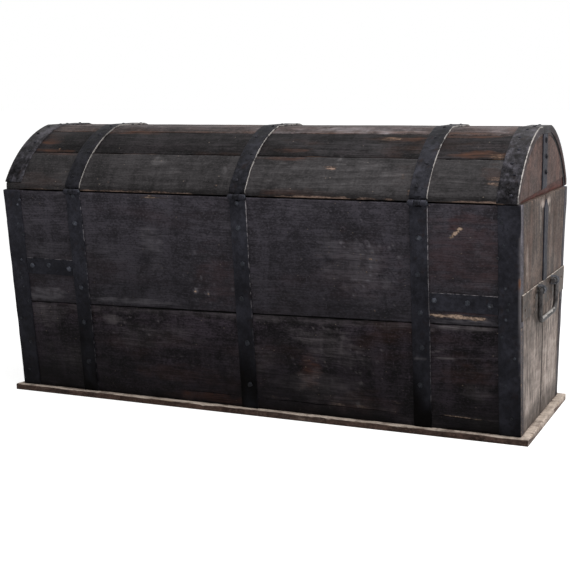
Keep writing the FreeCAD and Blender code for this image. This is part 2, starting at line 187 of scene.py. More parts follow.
class Shell:
    """Collects closed skins with what the materials read from their points."""

    def __init__(self):
        self.places, self.faces, self.edge, self.grain, self.marks = [], [], [], [], []
        self.count = 0

    def skin(self, p, edge, grain=None, marks=None, wrap=False):
        """Closed cross-sections (stations, points, 3) joined one after the other."""
        rows, cols = p.shape[:2]
        edge = np.broadcast_to(edge, (rows, cols))
        grain = p * MM if grain is None else grain
        marks = np.zeros((rows, cols, 4)) if marks is None else marks
        i = np.arange(rows if wrap else rows - 1)[:, None]
        j = np.arange(cols)[None, :]
        i1, j1 = (i + 1) % rows, (j + 1) % cols
        corners = i * cols + j, i * cols + j1, i1 * cols + j1, i1 * cols + j
        quads = np.stack(np.broadcast_arrays(*corners), -1).reshape(-1, 4)
        flat = p.reshape(-1, 3) - p.reshape(-1, 3).mean(0)
        a, b, c, d = (flat[quads[:, k]] for k in range(4))
        volume = (a * np.cross(b, c)).sum() + (a * np.cross(c, d)).sum()
        faces = quads.tolist()
        if not wrap:
            faces += [list(range(cols))[::-1], [(rows - 1) * cols + k for k in range(cols)]]
        if volume < 0:
            faces = [q[::-1] for q in faces]
        self.faces += [[k + self.count for k in q] for q in faces]
        self.places.append(p.reshape(-1, 3))
        self.edge.append(edge.reshape(-1))
        self.grain.append(grain.reshape(-1, 3))
        self.marks.append(marks.reshape(-1, 4))
        self.count += rows * cols
        return self


def spread(lo, hi, step, worn):
    """Stations from lo to hi, close together near both ends."""
    near = worn * np.array([0.0, 0.15, 0.45, 1.0, 1.8])
    if hi - lo < 2.6 * near[-1]:
        return np.linspace(lo, hi, 7)
    count = max(2, int(round((hi - lo - 2 * near[-1]) / step)) + 1)
    middle = np.linspace(lo + near[-1], hi - near[-1], count)
    return np.concatenate([lo + near[:-1], middle, (hi - near[:-1])[::-1]])


def rounding(distance, radius):
    q = np.clip(1 - distance / radius, 0, 1)
    return radius * (1 - np.sqrt(1 - q * q))


def stains(**kinds):
    """Soft spots by kind: (s, t, half length, half width, strength), and a slope where they lean."""
    return tuple((MARKS[kind], *row, 0.0)[:7] for kind, rows in kinds.items() for row in rows)


def scatter(kind, centre, reach, count, seed, size=(2.5, 5.0), strength=(0.6, 1.1)):
    """Small spots strewn round a place."""
    rng = random.Random(seed)
    spots = []
    for _ in range(count):
        s, t = rng.gauss(centre[0], reach[0]), rng.gauss(centre[1], reach[1])
        half_s, half_t, slope = rng.uniform(*size), rng.uniform(*size), rng.uniform(-0.5, 0.5)
        spots.append((kind, s, t, half_s, half_t, rng.uniform(*strength), slope))
    return tuple(spots)


def smear(s, t, spots):
    """The strength of every kind of mark at the points of a grid."""
    out = np.zeros(s.shape + (4,))
    ragged = 0.35 * rough_noise(points(s / 23, t / 9, 3.0), 5)
    for kind, s0, t0, half_s, half_t, strength, slope in spots:
        u = (s - s0) / half_s
        v = (t - t0 - slope * (s - s0)) / half_t
        value = strength * np.clip(1.7 * (1 - np.sqrt(u * u + v * v) + ragged * (np.abs(u) < 1.2)), 0, 1)
        out[..., kind] = np.maximum(out[..., kind], value)
    return out


def groove(s, t, n, marks, cracks):
    """Moves grid lines into cracks: (s0, t0, s1, t1, half width, depth)."""
    for number, (s0, t0, s1, t1, half, depth) in enumerate(cracks):
        for i in np.nonzero((s[:, 0] >= s0) & (s[:, 0] <= s1))[0]:
            share = (s[i, 0] - s0) / (s1 - s0)
            wander = noise(points(s[i, 0] / 31, number, 0.5), 9)
            centre = t0 + share * (t1 - t0) + 1.6 * wander
            j = int(np.argmin(np.abs(t[i] - centre)))
            if 4 < j < t.shape[1] - 5:
                fade = min(1.0, 4 * share + 0.2, 4 * (1 - share) + 0.2)
                t[i, j - 1:j + 2] = centre - half * fade, centre, centre + half * fade
                n[i, j] -= depth * fade
                marks[i, j, BLACK] = fade


def bright(s, t, limits, rest, shine):
    """Wear along the edges, a little on all; and on the sides named in shine, a full pale line of wear and
    painted highlight.
    """
    (s0, s1), (t0, t1) = limits
    gaps = {"s0": s - s0, "s1": s1 - s, "t0": t - t0, "t1": t1 - t}
    edge = rest * np.clip(1 - np.minimum.reduce(list(gaps.values())) / WEAR_REACH, 0, 1)
    along = (s - s0) / (s1 - s0)
    for side, first, last in shine:
        line = np.clip(1.1 - gaps[side] / LINE_REACH, 0, 1)
        edge = np.maximum(edge, (first + (last - first) * along) * line)
    return edge


def slab(shell, place, s, t, n, step, worn, wave, seed, inner=2, wobble=0.0, spots=(), cracks=(), ridge=0.0,
         rest=1.0, shine=(), upright=False, clean_sides=False, grime=("t", 0.0, 0.0)):
    """Board or strap on a surface: a worn outer face over s and t, its sides and a plain inner face."""
    along_s, along_t = spread(*s, step[0], worn), spread(*t, step[1], worn)
    outer_s, outer_t = (grid.copy() for grid in np.meshgrid(along_s, along_t, indexing="ij"))
    from_s = np.minimum(outer_s - s[0], s[1] - outer_s)
    from_t = np.minimum(outer_t - t[0], t[1] - outer_t)
    place_in = points(outer_s, outer_t, 31.7 * seed)
    radius = worn * np.clip(1 + 0.75 * noise(place_in / EDGE_NOISE, seed), 0.35, 2.2)
    nick = np.clip(noise(place_in / NICK_NOISE, seed + 3) - 0.55, 0, 1) * 4
    radius = radius * (1 + nick)
    drop = np.minimum(rounding(from_s, radius) + rounding(from_t, radius), 0.75 * (n[1] - n[0]))
    outer_n = n[1] - drop + wave * rough_noise(place_in / WAVE_NOISE, seed + 1)
    if ridge:
        outer_n = outer_n + ridge * rough_noise(place_in / RIDGE_NOISE, seed + 2)
    marks = smear(outer_s, outer_t, spots)
    # Darkening from the low to the high end, with noise, kept off raw and red marks; on walls, straps and
    # corner irons it is painted shade towards the bottom
    share = (outer_s - s[0]) / (s[1] - s[0]) if grime[0] == "s" else (outer_t - t[0]) / (t[1] - t[0])
    uneven = 1 + 0.3 * rough_noise(place_in / DARKENING_NOISE, seed + 6)
    darkening = np.clip((grime[1] + (grime[2] - grime[1]) * share) * uneven, 0, 1)
    darkening = darkening * (1 - np.clip(marks[..., RAW] + DARKENING_OFF_RUST * marks[..., RED], 0, 1))
    marks[..., BLACK] = np.maximum(marks[..., BLACK], darkening)
    groove(outer_s, outer_t, outer_n, marks, cracks)
    if clean_sides:
        marks[:, [0, -1]] = 0.0
    mid, half = (t[0] + t[1]) / 2, (t[1] - t[0]) / 2
    sway = wobble * noise(points(outer_s / 75, 0.0, seed), seed + 4)
    swell = wobble / half * noise(points(outer_s / 40, 7.0, seed), seed + 5)
    swayed = mid + (outer_t - mid) * (1 + swell) + sway
    inner_s, inner_t = np.meshgrid(along_s, np.linspace(t[1], t[0], inner), indexing="ij")
    inner_t = mid + (inner_t - mid) * (1 + swell[:, :1]) + sway[:, :1]
    inner_n = np.full(inner_s.shape, n[0])
    p = np.concatenate([place(outer_s, swayed, outer_n), place(inner_s, inner_t, inner_n)], 1)
    pairs = (outer_s, inner_s), (outer_t, inner_t), (outer_n, inner_n)
    across = points(*[np.concatenate(pair, 1) for pair in pairs])
    grain = (p[..., ::-1] if upright else across) * MM
    # The pale lines of wear and painted highlight also run, a little weaker, down the sides
    below = WORN_AND_LIT_BELOW * bright(inner_s, inner_t, (s, t), 0.0, shine)
    edge = np.concatenate([bright(outer_s, outer_t, (s, t), rest, shine), below], 1)
    inner_marks = np.zeros(inner_s.shape + (4,))
    if clean_sides:
        inner_marks[[0, -1], :, DUST] = SIDE_DUST
    marks = np.concatenate([marks, inner_marks], 1)
    return shell.skin(p, edge, grain + (seed * 1.37) % 11, marks)


def circle(count):
    return np.linspace(0, 2 * math.pi, count, endpoint=False)


def barrel(shell, x0, x1, axis, phase):
    """Rolled knuckle round an axis along X, with softened ends and a bore."""
    bore, soft, rolled = PIN_R + 0.15, 1.1, 0.05
    end = [(0.0, bore), (0.0, KNUCKLE_R - soft), (0.35 * soft, KNUCKLE_R - 0.3 * soft), (soft, KNUCKLE_R)]
    profile = [(x0 + u, r) for u, r in end]
    for share in (0.3, 0.5, 0.7):
        swell = 0.12 * math.sin(phase * 5.1 + share * 9)
        profile.append((x0 + soft + share * (x1 - x0 - 2 * soft), KNUCKLE_R + min(swell, 0.0)))
    profile += [(x1 - u, r) for u, r in reversed(end)]
    angle = circle(28)[:, None]
    x, r = np.array(profile, float).T
    curl = 1 - rolled * ((angle / (2 * math.pi) + 0.2) % 1.0)
    r = np.where(r > PIN_R + 0.5, r * curl, r)
    p = points(x[None, :] + 0 * angle, axis[0] + r * np.cos(angle), axis[1] + r * np.sin(angle))
    edge = np.where(np.abs(x - x.mean()) > 0.42 * np.ptp(x), 0.5, 0.25)
    return shell.skin(p, edge, wrap=True)


def pin(x0, x1, axis):
    """Hinge pin with peened ends."""
    head = PIN_R + 0.7
    end = [(-1.2, 0.6), (-1.0, 2.4), (-0.4, head - 0.2), (0.4, head), (1.1, PIN_R)]
    rings = [(x0 + u, r) for u, r in end] + [(x1 - u, r) for u, r in reversed(end)]
    angle = circle(16)[None, :]
    x, r = (np.array(q)[:, None] for q in zip(*rings))
    p = points(x + 0 * angle, axis[0] + r * np.cos(angle), axis[1] + r * np.sin(angle))
    return Shell().skin(p, 0.5)


def nail(shell, rng, place, s, t, n, size=STRAP_NAIL, darkening=0.0):
    """Hand-forged nail: a low faceted head, a little askew."""
    count = rng.choice((6, 7, 8))
    turn, high = rng.uniform(0, 6.28), size * rng.uniform(0.5, 0.65)
    lean = (rng.uniform(-0.2, 0.2), rng.uniform(-0.2, 0.2))
    reach = [size * rng.uniform(0.86, 1.1) for _ in range(count)]
    rings = []
    for share, rise in ((0.94, -0.9), (1.0, 0.5), (0.78, 0.62 * high), (0.34, 0.95 * high)):
        ring = []
        for k in range(count):
            a = turn + 2 * math.pi * k / count
            ds, dt = share * reach[k] * math.cos(a), share * reach[k] * math.sin(a)
            tilt = (lean[0] * ds + lean[1] * dt) * (rise > 0)
            ring.append((s + ds, t + dt, n - NAIL_SINK + rise + tilt))
        rings.append(ring)
    q = np.array(rings)
    # The crown is paler: wear and a painted highlight on the dome
    edge = np.array([0.0, 0.25, 0.55, 0.69])[:, None]
    marks = np.zeros(q.shape[:2] + (4,))
    # Painted shade where given: a nail is darker the lower it sits on the wall
    marks[..., BLACK] = darkening
    return shell.skin(place(q[..., 0], q[..., 1], q[..., 2]), edge, marks=marks)


def tube(path, section, seed, beat=0.0):
    """Bar along a path in a plane of constant X, from a closed section of (along X, across) points."""
    path = np.array(path, float)
    along = np.gradient(path, axis=0)
    along /= np.linalg.norm(along, axis=1)[:, None]
    across = points(0 * along[:, 0], -along[:, 2], along[:, 1])
    x, w = np.array(section, float).T
    scale = 1 + beat * rough_noise(points(np.arange(len(path)) / 3.7, 0.0, seed), seed)
    p = path[:, None, :] + scale[:, None, None] * (w[None, :, None] * across[:, None, :])
    p[..., 0] += scale[:, None] * x[None, :]
    return Shell().skin(p, 0.38 + 0.08 * noise(p / 17, seed))


def round_section(radius):
    a = circle(16)
    return np.stack([radius * np.cos(a), radius * np.sin(a)], -1)


def soft_rectangle(half_x, half_w, soft):
    corners = []
    for cx, cw, start in ((1, 1, 0), (-1, 1, 90), (-1, -1, 180), (1, -1, 270)):
        for turn in (0, 45, 90):
            a = math.radians(start + turn)
            x, w = cx * (half_x - soft) + soft * math.cos(a), cw * (half_w - soft) + soft * math.sin(a)
            corners.append((x, w))
    return np.array(corners)


def straight(p, q):
    count = max(1, int(np.linalg.norm(q - p) / 2.5))
    return [p + (q - p) * k / count for k in range(1, count + 1)]


def bent(route, radii):
    """Points along straight runs of (y, z) with rounded corners."""
    route = [np.array(q, float) for q in route]
    out = [route[0]]
    for before, corner, after, radius in zip(route, route[1:], route[2:], radii):
        a, b = corner - before, after - corner
        a, b = a / np.linalg.norm(a), b / np.linalg.norm(b)
        turn = math.acos(np.clip(a @ b, -1, 1))
        first = corner - a * radius * math.tan(turn / 2)
        middle = first + radius * (b - a * math.cos(turn)) / math.sin(turn)
        out += straight(out[-1], first)
        for k in range(1, 9):
            u = turn * k / 8
            out.append(middle + (first - middle) * math.cos(u) + a * radius * math.sin(u))
    return out + straight(out[-1], route[-1])


def link(name, data):
    """A new object in the scene."""
    obj = bpy.data.objects.new(name, data)
    bpy.context.scene.collection.objects.link(obj)
    return obj


def piece(name, shell, material, body, slot, nodes=(), sharp=38):
    mesh = bpy.data.meshes.new(name)
    mesh.from_pydata((np.concatenate(shell.places) * MM).tolist(), [], shell.faces)
    black = [marks[:, BLACK] for marks in shell.marks]
    layers = (("edge", "FLOAT", "value", shell.edge), ("black", "FLOAT", "value", black),
              ("grain", "FLOAT_VECTOR", "vector", shell.grain),
              ("marks", "FLOAT_COLOR", "color", shell.marks))
    for label, kind, key, data in layers:
        layer = mesh.attributes.new(label, kind, "POINT")
        layer.data.foreach_set(key, np.concatenate(data).astype(np.float32).ravel())
    mesh.polygons.foreach_set("use_smooth", np.ones(len(mesh.polygons), bool))
    mesh.set_sharp_from_angle(angle=math.radians(sharp))
    mesh.materials.append(material)
    obj = link(name, mesh)
    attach(obj, body)
    if nodes:
        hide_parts(*nodes)


def dress(node, shell, material, ending="_forged"):
    """Piece that stands in for a node of the frame and rides on its body."""
    piece(node + ending, shell, material, BODY_OF[node], SLOT_OF[material.name], [node])


# Materials

DARK_MARK_AND_SHADE, SPECK, RUST, BROWN = "070606", "8d8074", "4a2c22", "7d5741"
BUMP_DEPTH, WOOD_GLOSS, IRON_METAL = 0.0009, 0.05, 0.4
SLOT_OF = {}


def tone(code, share=1.0):
    """Linear colour from a written sRGB one, made darker or lighter by a share."""
    value = [int(code[k:k + 2], 16) / 255 * share for k in (0, 2, 4)]
    return tuple(c / 12.92 if c <= 0.04045 else ((c + 0.055) / 1.055) ** 2.4 for c in value) + (1.0,)


class Graph:
    """The nodes of a material or of the world, and short ways to add to them."""

    def __init__(self, owner, shader="Principled BSDF"):
        owner.use_nodes = True
        self.owner, self.tree = owner, owner.node_tree
        self.inputs = self.tree.nodes[shader].inputs

    def node(self, kind, sockets, **props):
        node = self.tree.nodes.new("ShaderNode" + kind)
        for key, value in props.items():
            setattr(node, key, value)
        for key, value in sockets.items():
            self.put(node.inputs[key], value)
        return node

    def put(self, socket, value):
        if isinstance(value, bpy.types.NodeSocket):
            self.tree.links.new(value, socket)
        else:
            socket.default_value = value

    def attribute(self, name, output):
        return self.node("Attribute", {}, attribute_name=name).outputs[output]

    def scaled(self, vector, scale):
        return self.node("VectorMath", {0: vector, 1: scale}, operation="MULTIPLY").outputs[0]

    def noise(self, vector, scale, detail, rough=0.6, warp=0.0):
        sockets = {"Vector": vector, "Scale": scale, "Detail": detail, "Roughness": rough,
                   "Distortion": warp}
        return self.node("TexNoise", sockets).outputs["Fac"]

    def span(self, value, low, high, to_low=0.0, to_high=1.0):
        sockets = {"Value": value, "From Min": low, "From Max": high, "To Min": to_low, "To Max": to_high}
        return self.node("MapRange", sockets, interpolation_type="SMOOTHSTEP").outputs["Result"]

    def maths(self, operation, a, b):
        return self.node("Math", {0: a, 1: b}, operation=operation).outputs[0]

    def add(self, a, b):
        return self.maths("ADD", a, b)

    def times(self, a, b):
        return self.maths("MULTIPLY", a, b)

    def mix(self, factor, a, b):
        return self.node("Mix", {0: factor, 6: a, 7: b}, data_type="RGBA").outputs[2]

    def ramp(self, factor, stops):
        node = self.node("ValToRGB", {"Fac": factor})
        while len(node.color_ramp.elements) < len(stops):
            node.color_ramp.elements.new(0.5)
        for element, (at, colour) in zip(node.color_ramp.elements, stops):
            element.position, element.color = at, colour
        return node.outputs["Color"]

    def channels(self):
        """The painted marks as separate values."""
        split = self.node("SeparateColor", {"Color": self.attribute("marks", "Color")})
        return [split.outputs[k] for k in range(3)] + [self.attribute("black", "Fac")]

    def surface(self, values):
        for key, value in values.items():
            self.put(self.inputs[key], value)
        return self.owner

    def bumpy(self, colour, rough, height, gloss, metal=0.0):
        bump = self.node("Bump", {"Height": height, "Distance": BUMP_DEPTH, "Strength": 1.0})
        return self.surface({"Base Color": colour, "Roughness": rough, "Normal": bump.outputs["Normal"],
                             "Specular IOR Level": gloss, "Metallic": metal})


def wood(name, middle, red, raw, dust, contrast=0.35, dusty=0.3, reddish=0.2, wander=0.05, edge_at=0.93,
         fibrous=0.3, specks=0.955, sheltered=0.3, slot="dark_wood"):
    """Old planed timber: fibres along the board, tonal patches, smudges, specks and worn edges."""
    g = Graph(bpy.data.materials.new(name))
    SLOT_OF[g.owner.name] = slot
    dark, light, pale = (tone(middle, 1 + share * contrast) for share in (-1, 1, 1.6))
    grain = g.attribute("grain", "Vector")

    def texture(along, across, detail, rough=0.6, warp=0.0, vector=grain):
        return g.noise(g.scaled(vector, (along, across, across)), 1.0, detail, rough, warp)
    lift = g.node("CombineXYZ", {"Y": g.times(texture(2.0, 6.0, 3.0), wander)}).outputs[0]
    wavy = g.node("VectorMath", {0: grain, 1: lift}, operation="ADD").outputs[0]
    fibre = texture(4.0, 110.0, 6.0, 0.68, vector=wavy)
    pores = texture(16.0, 480.0, 3.0, vector=wavy)
    patch = texture(2.3, 7.0, 5.0, 0.62)
    blotch = texture(8.0, 15.0, 5.0, 0.62)
    mottle = texture(26.0, 34.0, 6.0, 0.76, 0.3)
    smudge = texture(16.0, 4.5, 5.0, 0.6, 0.6)
    scuff = texture(60.0, 9.0, 4.0, 0.6, 0.4)
    grit = texture(150.0, 230.0, 4.0, 0.7)
    fleck = texture(190.0, 42.0, 2.0)
    uneven = g.add(g.times(mottle, 0.75 - fibrous), g.times(blotch, 0.25))
    stops = ((0.41, dark), (0.5, tone(middle)), (0.59, light))
    colour = g.ramp(g.add(g.times(fibre, fibrous), uneven), stops)
    for value, low, high, share, over in (
            (smudge, 0.5, 0.68, 0.6, light), (smudge, 0.5, 0.34, 0.6, dark), (grit, 0.52, 0.64, 0.7, light),
            (grit, 0.48, 0.36, 0.7, dark), (fleck, 0.66, 0.76, 0.5, pale),
            (patch, 0.52, 0.7, reddish, tone(red))):
        colour = g.mix(g.span(value, low, high, 0.0, share), colour, over)
    raw_at, dust_at, red_at, black_at = g.channels()
    stain = g.times(red_at, g.span(g.add(fibre, blotch), 0.85, 1.15, 0.25, 0.9))
    colour = g.mix(stain, colour, tone(red))
    grey = g.add(dust_at, g.span(texture(5.0, 11.0, 6.0, 0.7), 0.5, 0.72, 0.0, dusty))
    grey = g.times(grey, g.span(g.add(fibre, g.times(scuff, 0.6)), 0.6, 1.0, sheltered, 1.0))
    grey = g.times(grey, g.span(mottle, 0.38, 0.56, 0.6, 1.0))
    colour = g.mix(grey, colour, tone(dust))
    colour = g.mix(g.span(pores, 0.36, 0.52, 0.5, 0.0), colour, dark)
    edge = g.add(g.attribute("edge", "Fac"), g.span(blotch, 0.35, 0.7, -0.2, 0.09))
    colour = g.mix(g.span(edge, edge_at, edge_at + 0.1, 0.0, 0.75), colour, tone(raw))
    chip = g.add(raw_at, g.span(fibre, 0.35, 0.65, -0.3, 0.3))
    gritty = g.add(chip, g.span(grit, 0.3, 0.7, -0.3, 0.3))
    bare = g.mix(g.span(gritty, 0.4, 1.2), tone(raw, 0.5), tone(raw, 1.2))
    colour = g.mix(g.span(chip, 0.25, 0.75), colour, bare)
    cells = g.node("TexVoronoi", {"Vector": g.scaled(grain, (95.0, 130.0, 130.0)), "Scale": 1.0}).outputs
    chance = g.node("SeparateColor", {"Color": cells["Color"]}).outputs[0]
    chance = g.span(g.add(chance, g.times(dust_at, 0.12)), specks, specks + 0.005)
    speck = g.times(g.span(cells["Distance"], 0.1, 0.2, 1.0, 0.0), chance)
    colour = g.mix(g.times(speck, 0.6), colour, tone(SPECK))
    # Black marks: cracks, dark joints and spots, painted shadows, and painted shade towards the bottom
    colour = g.mix(black_at, colour, tone(DARK_MARK_AND_SHADE))
    rough = g.span(g.add(blotch, g.times(grey, 0.4)), 0.35, 0.85, 0.5, 0.75)
    height = g.add(g.add(g.times(fibre, 0.7), g.times(pores, 0.45)), g.times(blotch, 0.5))
    return g.bumpy(colour, rough, height, WOOD_GLOSS)


def iron(name, middle, worn, contrast=0.4, edge_at=0.88, rust="2c1f19", gloss=0.1, slot="strap_iron"):
    """Hammered black iron with bare, paler edges, dust in its hollows and a little rust."""
    g = Graph(bpy.data.materials.new(name))
    SLOT_OF[g.owner.name] = slot
    dark, light, pale = (tone(middle, 1 + share * contrast) for share in (-1, 1.4, 1.6))
    grain = g.attribute("grain", "Vector")
    scale = g.noise(grain, 75.0, 6.0, 0.68)
    broad = g.noise(grain, 14.0, 4.0)
    hammer = g.node("TexVoronoi", {"Vector": grain, "Scale": 62.0}, feature="SMOOTH_F1").outputs["Distance"]
    pits = g.noise(grain, 420.0, 3.0)
    stops = ((0.4, dark), (0.5, tone(middle)), (0.62, light))
    colour = g.ramp(g.add(g.times(scale, 0.55), g.times(broad, 0.45)), stops)
    # Rust patches, fine pale specks, broad pale mottling that is dust and in part a painted sheen, and dark
    # flecks
    for size, detail, uneven, low, high, share, over in (
            (33.0, 5.0, 0.7, 0.56, 0.72, 0.45, tone(rust)), (210.0, 4.0, 0.7, 0.55, 0.72, 0.4, pale),
            (24.0, 6.0, 0.72, 0.52, 0.7, 0.6, pale), (130.0, 4.0, 0.7, 0.46, 0.32, 0.7, dark)):
        colour = g.mix(g.span(g.noise(grain, size, detail, uneven), low, high, 0.0, share), colour, over)
    # Bare, paler edges; along the shine lines this is wear and a painted highlight
    edge = g.add(g.attribute("edge", "Fac"), g.span(scale, 0.35, 0.65, -0.14, 0.1))
    bare = g.span(edge, edge_at - 0.1, edge_at + 0.1, 0.0, 0.9)
    raw_at, dust_at, red_at, black_at = g.channels()
    # Black marks on the iron are painted shade, darker towards the bottom
    for factor, code in ((bare, worn), (dust_at, worn), (red_at, RUST), (raw_at, BROWN), (black_at, DARK_MARK_AND_SHADE)):
        colour = g.mix(factor, colour, tone(code))
    rough = g.maths("SUBTRACT", g.span(scale, 0.3, 0.7, 0.45, 0.7), g.times(bare, 0.12))
    height = g.add(g.times(hammer, 1.3), g.add(scale, g.times(pits, 0.5)))
    return g.bumpy(colour, rough, height, gloss, IRON_METAL)


UPPER_WOOD = wood("aged_upper_wood", "423f45", "4e3838", "a38d7d", "7f7b81", contrast=0.36, edge_at=1.2)
LOWER_WOOD = wood("aged_lower_wood", "252125", "432e28", "a08b7c", "6e686a", contrast=0.9, dusty=0.55,
                  reddish=0.4, edge_at=1.2, specks=0.94)
LID_LOW_WOOD = wood("aged_lid_low_wood", "333132", "4a332b", "7d6a60", "656263", contrast=0.34, dusty=0.32)
LID_MID_WOOD = wood("aged_lid_middle_wood", "191718", "4c3429", "7a6252", "525052", contrast=0.8,
                    reddish=0.4, fibrous=0.45)
LID_TOP_WOOD = wood("aged_lid_top_wood", "362f2e", "563b2e", "8a7262", "908a8d", contrast=0.6, reddish=0.55,
                    dusty=0.6, fibrous=0.4)
END_WOOD = wood("weathered_end_wood", "483e39", "553a2f", "a19186", "bbaea6", contrast=0.6, reddish=0.45,
                wander=0.015, fibrous=0.5, edge_at=1.05, sheltered=0.5, specks=1.2, slot="end_wood")
LID_END_WOOD = wood("weathered_lid_end_wood", "4e3f3b", "633b2f", "8d7359", "85776f", contrast=0.45,
                    reddish=0.6, wander=0.02, slot="end_wood")
BASE_WOOD = wood("base_wood", "4a3b35", "553a2c", "a8957e", "c8b9ac", contrast=0.4, dusty=0.2, edge_at=0.95,
                 slot="base_wood")
RED_WOOD = wood("red_wood", "4a2d28", "5d3426", "80513c", "6a564e", dusty=0.2, slot="red_wood")
STRAP_IRON = iron("forged_strap_iron", "2e2e34", "8d888b", contrast=0.26, gloss=0.02)
LID_IRON = iron("forged_lid_iron", "232327", "98938f", gloss=0.03)
LID_BAND_IRON = iron("forged_lid_band_iron", "28272a", "98938f", contrast=0.75, gloss=0.03)
END_IRON = iron("weathered_end_iron", "4a413c", "bcb3a9", contrast=0.5, rust="3c2f28")
BAR_IRON = iron("forged_bar_iron", "33353b", "808186", edge_at=0.8, slot="bar_iron")
HANDLE_IRON = iron("handle_iron_painted_highlight", "3e3c3c", "b3afab", edge_at=0.8, slot="bar_iron")
STAVE_WOOD = (LID_LOW_WOOD, LID_MID_WOOD, LID_TOP_WOOD, LID_TOP_WOOD, LID_MID_WOOD, LID_LOW_WOOD)


# Wooden boards

def board(node, material, *form, **looks):
    dress(node, slab(Shell(), *form, **looks), material, "_worn")


def near_corner(x):
    """Grows from 0 to 1 towards the ends, where the rim and the lid meet closely."""
    return np.clip((np.abs(x) - CORNER_FROM) / CORNER_RUN, 0, 1)


def wall_boards(label, looks, seed):
    """Lower and upper board of a long wall, with worn edges along their joint."""
    plain = on_wall(FACE[label])
    seam = extent(label + "_board_lower", Z)[1], extent(label + "_board_upper", Z)[0]
    middle = (seam[0] + seam[1]) / 2
    boards = (("lower", BODY_Z, middle - SEAM_GAP, LOWER_WOOD),
              ("upper", middle + SEAM_GAP, RIM_Z - WALL_OPENING, UPPER_WOOD))
    for number, (name, low, high, material) in enumerate(boards):
        def place(x, z, n, low=low, high=high, upper=name == "upper"):
            share = (z - low) / (high - low)
            shift = seam[0] + (x + HALF_LENGTH) / (2 * HALF_LENGTH) * (seam[1] - seam[0]) - middle
            raised = WALL_OPENING * near_corner(x) * share
            return plain(x, z + (shift * (1 - share) + raised if upper else shift * share), n)
        spots, cracks = looks.get(name, ((), ()))
        board(label + "_board_" + name, material, place, (-HALF_LENGTH, HALF_LENGTH), (low, high),
              (-WALL_THICK, 0.0), step=(4.5, 4.0), worn=2.2, wave=0.55, seed=seed + number, ridge=0.18,
              spots=spots, cracks=cracks, grime=WALL_SHADE[name])


def end_boards(end, seed):
    """Two upright boards between the long walls, with an open joint between them."""
    plain = on_end(SIDE[end], HALF_LENGTH)
    joint = extent(end + "_end_board_back", Y)[0]
    width = BASE_HALF - WALL_THICK * LEVEL
    for number, (name, face) in enumerate(FACE.items()):
        def place(z, y, n, face=face):
            outer = BASE_HALF + LEAN * (z - BODY_Z) - WALL_THICK * LEVEL
            return plain(z, face * (joint + (y - joint) / (width - joint) * (outer - joint)), n)
        spots, cracks = END_LOOKS[end, name]
        board(end + "_end_board_" + name, END_WOOD, place, (BODY_Z, RIM_Z), (joint, width),
              (-END_THICK, 0.0), step=(5.0, 4.5), worn=2.4, wave=0.7, seed=seed + number, ridge=0.1,
              spots=spots, cracks=cracks)


def base_boards():
    half_x, half_y = extent("base_board_back", X)[1], extent("base_board_back", Y)[1]
    width = 2 * half_y / 3
    for number, name in enumerate(("front", "middle", "back")):
        low = -half_y + number * width
        t = (low + BASE_GAP, low + width - BASE_GAP)
        board("base_board_" + name, BASE_WOOD, points, (-half_x, half_x), t, (0.0, BODY_Z), step=(9.0, 9.0),
              worn=2.0, wave=0.25, seed=61 + number, ridge=0.1, spots=BASE_DUST, clean_sides=True)


def lid_staves():
    """Boards of the dome; the outer two reach down to the rim near the corners."""
    seams = [OVER_LID / 2 - math.radians(a) * ARCH_R for a in STAVE_SEAMS]
    seams = [LID_OPENING] + seams + [OVER_LID - LID_OPENING]
    for number, (low, high, material) in enumerate(zip(seams, seams[1:], STAVE_WOOD), 1):
        def place(x, a, n, low=low, high=high, number=number):
            share = (a - low) / (high - low)
            drop = {1: -LID_OPENING * (1 - share), 6: LID_OPENING * share}.get(number, 0.0)
            return on_arch(a + drop * near_corner(x), x, n)
        ends = stains(dust=[(x, low, 1.0, 900, 0.9) for x in (-LID_HALF, LID_HALF)])
        t = (low + STAVE_GAP, high - STAVE_GAP)
        board("lid_stave_%d" % number, material, place, (-LID_HALF, LID_HALF), t, (-STAVE_THICK, 0.0),
              step=(4.5, 4.0), worn=2.0, wave=0.5, seed=20 + number, inner=5, ridge=0.2,
              spots=LID_LOOKS.get(number, ()) + ends)


def rail_top(y):
    return RIM_Z + RAIL_LOW + (LID_BACK - y) / (LID_BACK - LID_FRONT) * (RAIL_HIGH - RAIL_LOW)


def arch_z(y, inset):
    arch = ARCH_Z + np.sqrt(np.maximum((ARCH_R - inset) ** 2 - (y - LID_MID) ** 2, 0))
    return np.minimum(arch, CROWN_Z - inset)


def lid_end(end, seed):
    """Arched end board of the lid and the wedge-shaped rail below it."""
    inset = STAVE_THICK + IRON_GAP
    plain = on_end(SIDE[end], LID_HALF)
    y0, y1 = LID_FRONT + inset, LID_BACK - inset
    ys = np.linspace(y0, y1, 4000)
    corner = ys[np.nonzero(arch_z(ys, inset) > rail_top(ys) + 0.5)[0][0]]
    tall = 140.0

    def arched(y, t, n):
        low, high = rail_top(y) + RAIL_GAP, arch_z(y, inset)
        return plain(low + t / tall * (high - low), y, n)

    def wedge(y, t, n):
        high = np.minimum(rail_top(y) - RAIL_GAP, arch_z(y, inset))
        return plain(RIM_Z + t / RAIL_HIGH * (high - RIM_Z), y, n)
    board("lid_end_board_" + end, LID_END_WOOD, arched, (corner, y1), (0.0, tall), (-LID_END_THICK, 0.0),
          step=(4.5, 4.5), worn=1.8, wave=0.5, seed=seed, ridge=0.25, upright=True)
    board("lid_end_rail_" + end, RED_WOOD, wedge, (y0, y1), (0.0, RAIL_HIGH), (-LID_END_THICK, -2.5),
          step=(5.0, 4.0), worn=1.2, wave=0.3, seed=seed + 1, ridge=0.1)


# Ironwork

def iron_slab(shell, place, s, t, thick, seed, worn=1.2, wave=0.35, wobble=0.5, **looks):
    n, step = (-IRON_SINK, thick), (5.0, 5.0)
    return slab(shell, place, s, t, n, step, worn, wave, seed, wobble=wobble, rest=0.5, **looks)


